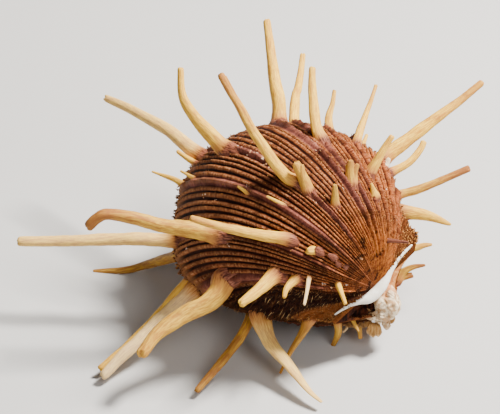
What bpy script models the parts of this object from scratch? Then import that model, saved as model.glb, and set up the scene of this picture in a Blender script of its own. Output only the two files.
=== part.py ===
"""Regal thorny oyster: the two closed valves of a Spondylus shell with their spines, lying as it rests.

Each valve is a thick bowl whose growth lines are the same outline, made smaller towards the umbo and
lifted by a turn about the hinge. Ribs fan out from the umbo, and every spine grows out of a rib.
Lengths are in millimetres and angles in degrees until they reach Blender, which works in metres.
"""
import math

import bmesh
import bpy
import numpy as np
from mathutils import Matrix, Vector

MM = 0.001

# How the shell lies, seen by someone who looks towards +Y and down on it
VIEW_CLIMB = 38.0            # how steeply that view looks down
HINGE_HEADING = 42.0         # the hinge line in that view, counter-clockwise from +X
HINGE_DIP = -16.0            # its turn out of the picture, away from the viewer at its upper end
SHELL_TILT = 21.5            # the lower edge's turn about the hinge, away from the viewer
UMBO_PLACE = (44.59, -28.57, 25.0)   # the umbo in the world, over the floor at 0

# Outline of both valves: reach from the umbo every 10 degrees of the fan, from -90 to 90
OUTLINE = (20, 21.5, 28, 39, 55.5, 69.5, 75.5, 79.5, 83, 82, 78.5, 73.5, 66.3, 58.2, 49.5, 33.8, 28.1, 25.5, 20)
FAN_STEP = 10.0
RIB_DRIFT = 4.0              # how far a rib turns between the umbo and the edge

# Swell of each valve: its turn about the hinge at the umbo, in radians, and how late it eases off
LEFT_RISE, LEFT_EASE = 1.50, 1.55
RIGHT_RISE, RIGHT_EASE = 1.05, 1.50
BEAK = (1.0, -8.5, -9.5)     # tip of the right valve, past the hinge
BEAK_BEND = (1.5, 0.9)       # how much sooner the beak ends towards the upper ear and the lower flank
HALF_GAP = 0.15              # half of the gap between the valves
WALL_SCALE = 0.90            # the inside is the outside made smaller about the middle of the outline
OUTLINE_MIDDLE = (-2.0, 34.0, 0.0)

# Ribs and the finer riblets between them
MAIN_RIBS = (-74, -59, -44, -28, -13, -1, 17, 22, 30, 38, 48, 57, 68)
RIBLET_SPACING = 5.5
RIB_RISE, RIBLET_RISE, GROOVE_SINK = 1.1, 0.6, 0.33
RELIEF_FROM = 0.35           # share of the growth by which the relief is at its full height
GROWTH_ROWS = (0.06, 0.13, 0.21, 0.30, 0.40, 0.50, 0.60, 0.69, 0.77, 0.84, 0.90, 0.95, 0.98, 1.0)
INNER_ROWS = (0.25, 0.5, 0.75, 0.92, 1.0)
INNER_FAN_STEP = 12

# Spines: valve, rib angle, place along the rib from umbo to edge, then the runs of the spine and its
# root and tip width. A run is its heading in the view above, counter-clockwise from +X, its turn
# towards the viewer, and its length.
SPINES = {
    "edge_upper_left": ("left", -3.5, 0.985, ((141.6, -33, 19.2), (149.1, -35, 19.4), (156.7, -35.9, 13.4)),
                        (5.9, 2.6)),
    "kinked": ("left", -2, 0.88, ((136.7, -6, 9.2), (130.1, -7, 8.9), (118.4, -8, 7.9), (95, -9.4, 10.8)),
               (6.8, 2.3)),
    "front_upper": ("left", -1, 0.62, ((149.5, 8, 5.5), (127.2, 8, 11.5), (122.6, 8, 9.9),
                                       (119.7, 3.9, 21.4)), (4.7, 2.6)),
    "tallest": ("left", 18.5, 0.98, ((92.7, -20.2, 8.4), (100.4, -22, 8.1), (97.4, -24, 15.8),
                                     (97.6, -22.5, 10)), (6.1, 2.8)),
    "behind_tallest": ("right", 22, 0.98, ((86.7, -34.9, 15.3), (75.4, -32, 4.8), (82.3, -29.3, 14.5)),
                       (4.5, 2.1)),
    "upright": ("left", 22, 0.77, ((111.5, -16.6, 5.3), (96.9, -20, 10.4), (92.1, -21.1, 13.6)),
                (4.6, 2.4)),
    "thin_back": ("right", 31.5, 0.98, ((92.8, -37.3, 8.8), (74.7, -38, 6.5), (80, -36.7, 6.4)),
                  (3.8, 1.4)),
    "slender_right": ("left", 38, 0.89, ((73.3, -32.9, 10.1), (69.3, -34, 9.4), (70.5, -32.4, 8.3)),
                      (3.5, 1.3)),
    "bud_right": ("right", 41, 0.98, ((71, -30, 6.9),), (2, 1.2)),
    "long_right": ("left", 48.5, 0.99, ((37.6, -9, 11.4), (37.2, -9, 12.3), (35.9, -10, 12.6),
                                        (39.7, -9.8, 11.1)), (5.9, 2.5)),
    "stub_right": ("left", 36.5, 0.67, ((64.1, 2.3, 5.2), (60, 2, 5.8), (55, 2, 5)), (3.9, 2.2)),
    "bent_right": ("left", 52.5, 0.98, ((26, -15, 6.2), (37.5, -14, 4.1), (52.7, -12.2, 4.9),
                                        (67, -9.7, 3.1)), (3.4, 2.2)),
    "low_right": ("left", 57.5, 0.98, ((17.3, -5.8, 9), (20.5, -6, 9.1), (23.1, -3.9, 10.6)), (3.3, 2.4)),
    "forked_stub": ("left", 20, 0.56, ((96.5, 6.1, 3.8), (81, 10, 4.5)), (4.8, 3.6)),
    "knobby_stub": ("left", -1, 0.59, ((108, 14, 7.1), (113, 14, 2.9)), (4.6, 3.4)),
    "small_stub": ("left", 4, 0.49, ((90.9, 30, 3.7), (93, 30, 4.6)), (3.2, 1.5)),
    "nub": ("left", 50, 0.93, ((63.3, 5.9, 3.4),), (2.6, 1.5)),
    "scale": ("left", 32, 0.53, ((105.8, 24.5, 5.4),), (3.6, 1.1)),
    "edge_bud": ("left", -6, 0.98, ((149, -26, 5.6), (145, -26, 4.1)), (2.6, 1.5)),
    "edge_thorn": ("left", -13, 0.98, ((146.6, -20, 4.7), (160, -19, 9.4)), (3, 0.7)),
    "edge_prick": ("left", -12, 0.93, ((153, -8, 6.5),), (1.9, 0.9)),
    "rib_prick": ("left", -14, 0.72, ((147, 8, 5),), (1.9, 0.8)),
    "rib_scale": ("left", -12, 0.6, ((152, 2, 7.5),), (1.7, 0.8)),
    "hooked": ("left", -30, 0.8, ((168.5, 8, 13), (171.5, 6, 9.9), (166.6, 6, 10), (171.4, 2, 8.3),
                                  (200.9, -12, 3.8), (221.2, -15.2, 5.4)), (6.5, 3.8)),
    "over_hooked": ("left", -24, 0.55, ((171, 14, 9.7), (168, 12, 14.3), (164, 14, 13.4)), (4.6, 2.3)),
    "long_left": ("left", -29, 0.98, ((178.7, -4, 18.8), (180.9, -4, 18.8), (181.3, -3.9, 20.6)),
                  (5.2, 3.7)),
    "low_front": ("left", -44, 0.86, ((243.6, 14.8, 5.7), (217.6, 18.1, 8.2), (208.3, 18.1, 9.2),
                                      (218, 18, 11.6), (233, 17.3, 9.6)), (8, 4)),
    "row_first": ("left", -42, 0.61, ((222, 28, 7.9), (217, 28, 11.4)), (5.6, 2.9)),
    "row_second": ("left", -42, 0.52, ((224, 35, 6), (252, 35, 4.6)), (3.9, 1.5)),
    "row_third": ("left", -39, 0.45, ((260, 38, 6.5), (257, 38, 6.4)), (2.3, 1.2)),
    "row_fourth": ("left", -38, 0.3, ((290, 35, 10),), (2.5, 1.5)),
    "knob_pale": ("left", -23, 0.45, ((190, 50, 4),), (3.2, 2.4)),
    "knob_dark": ("left", -20, 0.36, ((150, 50, 3.5),), (2.6, 1.2)),
    "floor_left": ("right", -28, 0.93, ((196.6, -55.6, 15.8), (196.2, -54, 15.4), (194.8, -20, 7.3),
                                        (183.8, -9.4, 12.4)), (4.9, 1.8)),
    "low_left": ("right", -42, 0.97, ((220.1, 7, 9.1), (222, 16, 14.2), (223, 16, 12.2), (225, 16, 13.1)),
                 (6.6, 3.4)),
    "low_left_thin": ("right", -39.5, 0.97, ((226.9, 12.5, 21.6), (224, 13, 14.3), (219, 13, 11.2)),
                      (4.6, 2.4)),
    "low_middle": ("right", -51.5, 0.86, ((241.2, 23.3, 12.3), (230.7, 27, 13.1), (229.1, 25.4, 13.1)),
                   (4.1, 2.4)),
    "broad_front": ("right", -56, 0.95, ((287.4, 20.3, 10.7), (309.1, 24, 11.5), (307.6, 26, 12.6),
                                         (317.8, 24.3, 7.7)), (8.6, 1.4)),
    "curved_front": ("right", -68, 0.87, ((242.3, 4.4, 6.1), (237.8, 12, 7.7), (243.5, 11.4, 9.2)),
                     (4.4, 1)),
    "ear_front": ("right", -60, 0.47, ((275.3, -38.5, 6.1), (249, -43, 7.7)), (3.4, 1.6)),
    "ear_prick": ("right", -74, 0.53, ((296.4, 7.7, 6.1),), (1.9, 0.8)),
    "beak_prick": ("right", -48, 0.22, ((273.9, 0.5, 6.8),), (2.2, 1.4)),
    "beak_thread": ("right", -50, 0.29, ((254, -0.4, 2.8), (225, 20, 2)), (1.3, 0.6)),
    "ear_back": ("right", 74, 0.74, ((2.3, 1.7, 4.5), (16.5, 4, 3.1), (6.3, 0, 2.9)), (3.7, 1)),
    "ear_broad": ("right", 60, 0.94, ((357, -1, 6.3), (347.3, -2, 6.1), (337.7, 0, 7.6)), (5.7, 0.9)),
    "beak_long": ("right", 80, 0.34, ((54, 10, 4.1), (28, 10, 3.7), (10, 8, 4.7)), (3.6, 1)),
    "beak_short": ("right", 76, 0.32, ((37.8, 15, 2.8), (12, 12, 4.2)), (2.8, 1.4)),
    "stilt": ("right", 33, 0.58, ((351.6, -74.3, 31.3),), (4.6, 3)),
    "under_first": ("right", 0, 0.9, ((170, -66, 15),), (3.4, 1.6)),
    "under_second": ("right", 12, 0.76, ((120, -70, 17),), (3.4, 1.6)),
    "under_third": ("right", 48, 0.86, ((20, -78, 16),), (3.6, 1.8)),
    "under_fourth": ("right", 62, 0.66, ((0, -50, 13),), (3, 1.5)),
    "under_fifth": ("right", -14, 0.84, ((186, -62, 13),), (3, 1.4)),
}
SPINE_SIDES = 6
RING_SPACING = 7.0
ROOT_DEPTH = 1.6             # how far a root is sunk below the surface
FLARE = 1.2                  # how fast the root's width is lost

# Chalky lumps of the attachment scar round the beak: place from the umbo in the view, and half sizes
SCAR_LUMPS = ((5.4, -4.3, -3.5, 4.1, 5.2, 4.2), (3.2, -9.0, -4.5, 3.6, 3.2, 3.6),
              (0.2, -10.4, -5.0, 3.0, 2.4, 2.8), (3.4, -13.0, -6.5, 2.0, 2.6, 2.2),
              (5.4, 0.2, -4.0, 1.8, 2.2, 2.2))
# Leafy frills under the beak: place from the umbo in the view, and half sizes across, down and deep
FRILLS = ((0.4, -15.0, -7.6, 2.9, 3.2, 1.8), (-6, -13, -8, 3.8, 2.4, 2.6), (-10, -12.0, -6, 3.6, 2.2, 2.6))

SHELL_COLOUR = (0.24, 0.115, 0.05)
UNDER_COLOUR = (0.30, 0.16, 0.08)
SHELL_ROUGHNESS = 0.6


def unit(vector):
    return vector / np.linalg.norm(vector, axis=-1, keepdims=True)


def view_axes():
    """The hinge, growth and outward directions of the shell, as rows, in the view's own axes."""
    heading, dip, tilt = np.radians([HINGE_HEADING, HINGE_DIP, SHELL_TILT])
    hinge = np.array([np.cos(heading) * np.cos(dip), np.sin(heading) * np.cos(dip), np.sin(dip)])
    flat = unit(np.cross([0.0, 0.0, 1.0], hinge))
    growth = np.cos(tilt) * flat - np.sin(tilt) * np.cross(hinge, flat)
    return np.stack([hinge, growth, np.cross(hinge, growth)])


def resting_matrix():
    """Shell axes to the world: first into the view, then the view's own turn about X."""
    climb = math.radians(VIEW_CLIMB)
    view_to_world = np.array([[1, 0, 0],
                              [0, math.sin(climb), -math.cos(climb)],
                              [0, math.cos(climb), math.sin(climb)]])
    turn = Matrix((view_to_world @ view_axes().T).tolist()).to_4x4()
    return Matrix.Translation(Vector(UMBO_PLACE) * MM) @ turn


def reach(fan):
    """Distance from the umbo to the edge at a fan angle: a smooth curve through OUTLINE."""
    knots = np.array(OUTLINE, float)
    knots = np.concatenate([[2 * knots[0] - knots[1]], knots, [2 * knots[-1] - knots[-2]]])
    spot = np.clip((fan + 90) / FAN_STEP, 0, len(OUTLINE) - 1.0001)
    index = np.floor(spot).astype(int)
    t = spot - index
    a, b, c, d = (knots[index + step] for step in range(4))
    return b + 0.5 * t * (c - a + t * (2 * a - 5 * b + 4 * c - d + t * (3 * (b - c) + d - a)))


def on_rib(fan, place, side):
    """Point of a valve's outside on the rib at a fan angle, at a place from 0, umbo, to 1, edge."""
    fan = fan - RIB_DRIFT * (place - 0.5) * np.cos(np.radians(fan)) ** 2
    angle = np.radians(fan)
    rise, ease = (LEFT_RISE, LEFT_EASE) if side == "left" else (RIGHT_RISE, RIGHT_EASE)
    outward = 1.0 if side == "left" else -1.0
    lift = rise * (1 - place ** ease)
    radius = place * reach(fan)
    point = np.stack([radius * np.sin(angle),
                      radius * np.cos(angle) * np.cos(lift),
                      outward * (radius * np.cos(angle) * np.sin(lift) + HALF_GAP)], axis=-1)
    if side == "right":
        ear, flank = np.clip(np.sin(angle), 0, 1) ** 2, np.clip(-np.sin(2 * angle), 0, 1)
        bend = 1 + BEAK_BEND[0] * ear + BEAK_BEND[1] * flank
        point = point + ((1 - place) ** bend)[..., None] * np.array(BEAK)
    return point


def outward_normal(fan, place, side):
    along = on_rib(fan, place + 0.002, side) - on_rib(fan, place - 0.002, side)
    across = on_rib(fan + 0.2, place, side) - on_rib(fan - 0.2, place, side)
    return unit(np.cross(across, along)) * (1.0 if side == "left" else -1.0)


def rib_columns():
    """Fan angles of the outer grid and the relief at each: crests with a groove on either side."""
    crests = [(MAIN_RIBS[0], RIB_RISE)]
    for start, end in zip(MAIN_RIBS, MAIN_RIBS[1:]):
        between = max(0, round((end - start) / RIBLET_SPACING) - 1)
        for step in range(1, between + 1):
            crests.append((start + (end - start) * step / (between + 1), RIBLET_RISE))
        crests.append((end, RIB_RISE))
    columns = [(-90.0, 0.0), (-82.0, 0.0)]
    for (fan, rise), following in zip(crests, crests[1:] + [(90.0, 0.0)]):
        columns.append((fan, rise))
        columns.append(((fan + following[0]) / 2, -GROOVE_SINK))
    columns[-1] = (79.0, 0.0)
    columns.append((90.0, 0.0))
    return np.array(columns).T


def ribbed_sheet(side):
    """Rows of outside points, umbo to edge, with the ribs raised and the edge flat."""
    fans, relief = rib_columns()
    places = np.array(GROWTH_ROWS)
    place, fan = np.meshgrid(places, fans, indexing="ij")
    safe = np.clip(fan, -89.0, 89.0)
    raised = relief[None, :] * np.clip(places / RELIEF_FROM, 0, 1)[:, None]
    sheet = on_rib(fan, place, side)
    sheet += outward_normal(safe, np.clip(place, 0.05, 0.99), side) * raised[..., None]
    return sheet


def smooth_sheet(side):
    """Rows of inside points: the outside without ribs, made smaller about the outline's middle."""
    fans = np.linspace(-90, 90, 1 + 180 // INNER_FAN_STEP)
    place, fan = np.meshgrid(np.array(INNER_ROWS), fans, indexing="ij")
    middle = np.array(OUTLINE_MIDDLE)
    return middle + WALL_SCALE * (on_rib(fan, place, side) - middle)


def level_edges(sheet, pole, side):
    """Bring the edge row, and on the left valve the hinge line, to the valve's side of the gap."""
    level = HALF_GAP if side == "left" else -HALF_GAP
    sheet[-1, :, 2] = level
    if side == "left":
        sheet[:, (0, -1), 2] = level
        pole[2] = level
    return sheet, pole


def add_sheet(bm, sheet, pole, side, outside):
    """A sheet's faces, with a fan at the pole, and on the right valve the flat area under the beak."""
    turned = outside == (side == "left")
    tip = bm.verts.new(pole * MM)
    rows = [[bm.verts.new(point * MM) for point in row] for row in sheet]

    def face(*corners):
        bm.faces.new(corners if turned else corners[::-1])

    for left, right in zip(rows[0], rows[0][1:]):
        face(tip, right, left)
    for lower, upper in zip(rows, rows[1:]):
        for column in range(len(lower) - 1):
            face(lower[column], lower[column + 1], upper[column + 1], upper[column])
    if side == "right":
        face(tip, rows[0][0], rows[0][-1])
        for lower, upper in zip(rows, rows[1:]):
            face(lower[-1], lower[0], upper[0], upper[-1])


def finish_mesh(bm, name, material):
    bmesh.ops.recalc_face_normals(bm, faces=bm.faces)
    mesh = bpy.data.meshes.new(name)
    bm.to_mesh(mesh)
    bm.free()
    mesh.materials.append(material)
    shape = bpy.data.objects.new(name, mesh)
    bpy.context.scene.collection.objects.link(shape)
    return shape


def valve_bowl(name, side, material):
    """A closed thick bowl: ribbed outside, smooth inside, and a flat edge between the two."""
    bm = bmesh.new()
    beak = np.array(BEAK if side == "right" else (0.0, 0.0, 0.0))
    middle = np.array(OUTLINE_MIDDLE)
    outside, tip = level_edges(ribbed_sheet(side), beak.copy(), side)
    inside, inner_tip = level_edges(smooth_sheet(side), middle + WALL_SCALE * (beak - middle), side)
    add_sheet(bm, outside, tip, side, True)
    add_sheet(bm, inside, inner_tip, side, False)
    open_edges = [edge for edge in bm.edges if edge.is_boundary]
    bmesh.ops.triangle_fill(bm, use_beauty=True, edges=open_edges)
    return finish_mesh(bm, name, material)


def keep_clear(name, side, material):
    """Space of the other valve, filled and a little larger, which this valve's spines stay out of."""
    bm = bmesh.new()
    place, fan = np.meshgrid(np.array(GROWTH_ROWS), np.linspace(-90, 90, 37), indexing="ij")
    middle = np.array(OUTLINE_MIDDLE)
    beak = np.array(BEAK if side == "right" else (0.0, 0.0, 0.0))
    swell = 1.0 + (RIB_RISE + 2 * HALF_GAP) / 30.0
    sheet = middle + swell * (on_rib(fan, place, side) - middle)
    tip = middle + swell * (beak - middle)
    level = HALF_GAP if side == "right" else -HALF_GAP
    sheet[-1, :, 2] = level
    if side == "left":
        sheet[:, (0, -1), 2] = level
        tip[2] = level
    add_sheet(bm, sheet, tip, side, True)
    bmesh.ops.holes_fill(bm, edges=[edge for edge in bm.edges if edge.is_boundary], sides=0)
    bmesh.ops.triangulate(bm, faces=bm.faces)
    return as_guide(finish_mesh(bm, name, material))


def as_guide(shape):
    shape.hide_render = True
    shape.display_type = "WIRE"
    return shape


def smooth_path(points, spacing):
    """Points at an even spacing on a smooth curve through the given ones."""
    points = np.array(points)
    ends = np.concatenate([[2 * points[0] - points[1]], points, [2 * points[-1] - points[-2]]])
    path = [points[0]]
    for index in range(len(points) - 1):
        a, b, c, d = ends[index:index + 4]
        count = max(1, round(float(np.linalg.norm(c - b)) / spacing))
        for t in np.linspace(0, 1, count + 1)[1:]:
            path.append(b + 0.5 * t * (c - a + t * (2 * a - 5 * b + 4 * c - d + t * (3 * (b - c) + d - a))))
    return np.array(path)


def spine_points(side, fan, place, runs):
    """A spine's own path in the shell's axes: sunk root, root on the rib, and the end of each run."""
    axes = view_axes()
    fan, place = np.array(float(fan)), np.array(float(place))
    root = on_rib(fan, place, side)
    points = [root - ROOT_DEPTH * outward_normal(fan, np.minimum(place, 0.99), side), root]
    for heading, towards, length in runs:
        turn, out = math.radians(heading), math.radians(towards)
        step = np.array([math.cos(out) * math.cos(turn), math.cos(out) * math.sin(turn), math.sin(out)])
        points.append(points[-1] + length * (axes @ step))
    points[0] = points[0] - 0.5 * ROOT_DEPTH * unit(points[2] - points[1])
    return points


def spine(name, row, material):
    """A round tapering spine with a blunt worn tip, flared where it grows out of its rib."""
    side, fan, place, runs, (root_width, tip_width) = row
    path = smooth_path(spine_points(side, fan, place, runs), RING_SPACING)
    heading = unit(np.gradient(path, axis=0))
    travelled = np.concatenate([[0], np.cumsum(np.linalg.norm(np.diff(path, axis=0), axis=1))])
    share = travelled / travelled[-1]
    radii = tip_width / 2 + (root_width - tip_width) / 2 * (1 - share) ** FLARE
    path = np.concatenate([path, path[-1:] + heading[-1:] * tip_width * 0.2])
    heading = np.concatenate([heading, heading[-1:]])
    radii = np.append(radii, tip_width * 0.32)
    side_way = unit(np.cross(heading, unit(np.cross(heading[0], [0.3, 0.5, 0.8]))))
    up_way = np.cross(side_way, heading)
    turns = np.linspace(0, 2 * math.pi, SPINE_SIDES, endpoint=False)
    bm = bmesh.new()
    rings = []
    for centre, across, up, radius in zip(path, side_way, up_way, radii):
        ring = [centre + radius * (math.cos(t) * across + math.sin(t) * up) for t in turns]
        rings.append([bm.verts.new(point * MM) for point in ring])
    for lower, upper in zip(rings, rings[1:]):
        for k in range(SPINE_SIDES):
            following = (k + 1) % SPINE_SIDES
            bm.faces.new((lower[k], lower[following], upper[following], upper[k]))
    bm.faces.new(rings[0][::-1])
    bm.faces.new(rings[-1])
    return as_guide(finish_mesh(bm, name, material))


def lump(name, place, half_sizes, material):
    """A rough rounded lump, placed by its offset from the umbo in the view."""
    bm = bmesh.new()
    bmesh.ops.create_icosphere(bm, subdivisions=1, radius=1.0)
    axes = view_axes()
    for vert in bm.verts:
        offset = np.array(vert.co) * np.array(half_sizes) + np.array(place)
        vert.co = Vector(axes @ offset) * MM
    return as_guide(finish_mesh(bm, name, material))


def combine(shape, operation, other=None, group=None):
    step = shape.modifiers.new(operation.title(), "BOOLEAN")
    step.operation = operation
    step.solver = "EXACT"
    step.use_self = group is not None
    if group is None:
        step.object = other
    else:
        step.operand_type = "COLLECTION"
        step.collection = group


def floor_block(material):
    """Everything below the floor, which wears flat the points that the shell rests on."""
    bm = bmesh.new()
    bmesh.ops.create_cube(bm, size=0.4)
    bmesh.ops.translate(bm, verts=bm.verts, vec=(0, 0, -0.2))
    return as_guide(finish_mesh(bm, "floor_block", material))


def shell_material(name, colour):
    material = bpy.data.materials.new(name)
    material.use_nodes = True
    shader = material.node_tree.nodes["Principled BSDF"]
    shader.inputs["Base Color"].default_value = (*colour, 1.0)
    shader.inputs["Roughness"].default_value = SHELL_ROUGHNESS
    shader.inputs["Metallic"].default_value = 0.0
    return material


def grown_parts(side, material):
    """Everything that grows from one valve's outside, in a collection of its own."""
    group = bpy.data.collections.new(side + "_growths")
    shapes = [spine(name, row, material) for name, row in SPINES.items() if row[0] == side]
    if side == "right":
        for index, (x, y, z, *sizes) in enumerate(SCAR_LUMPS):
            shapes.append(lump(f"scar_lump_{index}", (x, y, z), sizes, material))
        for index, (x, y, z, *sizes) in enumerate(FRILLS):
            shapes.append(lump(f"frill_{index}", (x, y, z), sizes, material))
    for shape in shapes:
        bpy.context.scene.collection.objects.unlink(shape)
        group.objects.link(shape)
    bpy.context.scene.collection.children.link(group)
    return group, shapes


def build():
    for shape in list(bpy.data.objects):
        bpy.data.objects.remove(shape)
    rest = bpy.data.objects.new("resting_shell", None)
    bpy.context.scene.collection.objects.link(rest)
    rest.matrix_world = resting_matrix()
    floor = floor_block(shell_material("floor_guide", SHELL_COLOUR))
    colours = {"left": SHELL_COLOUR, "right": UNDER_COLOUR}
    for side, other in (("left", "right"), ("right", "left")):
        material = shell_material(side + "_valve_shell", colours[side])
        valve = valve_bowl(side + "_valve", side, material)
        group, shapes = grown_parts(side, material)
        clear = keep_clear("clear_of_" + other, other, material)
        combine(valve, "UNION", group=group)
        combine(valve, "DIFFERENCE", other=clear)
        combine(valve, "DIFFERENCE", other=floor)
        for shape in [valve, clear, *shapes]:
            shape.parent = rest
        valve.data.shade_smooth()
        valve.data.set_sharp_from_angle(angle=math.radians(40))


build()
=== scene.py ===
"""Looks of a regal thorny oyster: two ribbed valves with their spines, prickles, frills and chalky scar.

Shapes are worked out in millimetres in the shell's own axes (X along the hinge, Y from the umbo to the
far edge, Z out of the upper valve) and are put where the frame has them by resting_turn().
"""
import math

import bpy
import numpy as np
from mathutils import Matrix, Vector


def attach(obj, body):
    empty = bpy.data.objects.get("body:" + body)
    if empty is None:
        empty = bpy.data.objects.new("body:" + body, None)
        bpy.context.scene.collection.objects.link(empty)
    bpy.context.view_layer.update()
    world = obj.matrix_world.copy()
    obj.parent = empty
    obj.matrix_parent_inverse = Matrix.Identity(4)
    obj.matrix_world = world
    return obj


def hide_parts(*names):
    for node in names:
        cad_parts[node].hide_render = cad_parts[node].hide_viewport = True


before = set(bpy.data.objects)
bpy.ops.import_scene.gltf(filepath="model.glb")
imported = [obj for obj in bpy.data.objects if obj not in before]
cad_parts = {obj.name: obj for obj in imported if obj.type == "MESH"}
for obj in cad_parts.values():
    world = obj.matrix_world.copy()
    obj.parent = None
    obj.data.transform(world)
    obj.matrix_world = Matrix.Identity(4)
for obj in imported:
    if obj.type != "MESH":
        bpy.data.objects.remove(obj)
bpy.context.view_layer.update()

MM = 0.001

# How the shell lies, in a view towards +Y that looks down on it
VIEW_CLIMB = 38.0
HINGE_HEADING = 42.0
HINGE_DIP = -16.0
SHELL_TILT = 21.5
UMBO_PLACE = (44.59, -28.57, 25.0)

# Outline and swell of the valves
OUTLINE = (20, 21.5, 28, 39, 55.5, 69.5, 75.5, 79.5, 83, 82, 78.5, 73.5, 66.3, 58.2, 49.5, 33.8, 28.1,
           25.5, 20)
FAN_STEP = 10.0
RIB_DRIFT = 4.0
RISE = {"left": 1.50, "right": 1.05}
EASE = {"left": 1.55, "right": 1.50}
OUTWARD = {"left": 1.0, "right": -1.0}
BEAK = {"left": (0.0, 0.0, 0.0), "right": (1.0, -8.5, -9.5)}
BEAK_BEND = (1.5, 0.9)
HALF_GAP = 0.15
OUTLINE_MIDDLE = (-2.0, 34.0, 0.0)
ROOF_HEIGHT = {"left": 24.0, "right": -17.0}
INSIDE_SHARES = (0.955, 0.90, 0.8, 0.62, 0.4, 0.18)
HOLLOW_WAY = np.array((0.0, 0.745, -0.667))

# Ribs
MAIN_RIBS = (-74, -59, -44, -28, -13, -1, 17, 22, 30, 38, 48, 57, 68)
RIBLET_SPACING = 2.05
RIB_ROOM = 1.15              # a main rib's half width against a riblet's
RIB_RISE, RIBLET_RISE = 1.5, 0.80
RELIEF_FROM = 0.30
GROWTH_STEPS = 21            # fine steps from the umbo to the edge
GROWTH_RESTS = (0.37, 0.63, 0.84)
RIB_PINK = ((-75, -45, -40, 18, 26, 75), (0.15, 0.7, 1.0, 1.0, 0.35, 0.15))
COLUMNS, ROWS, AREA_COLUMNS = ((720, 118, 40))
EDGE_ROWS = 14

# A spine's flatness, rust, soil and taper. Soil below 0 is bleached, and 1 keeps the colour of the root
USUAL_LOOK = (0.9, 0.25, 0, 1.1)
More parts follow.
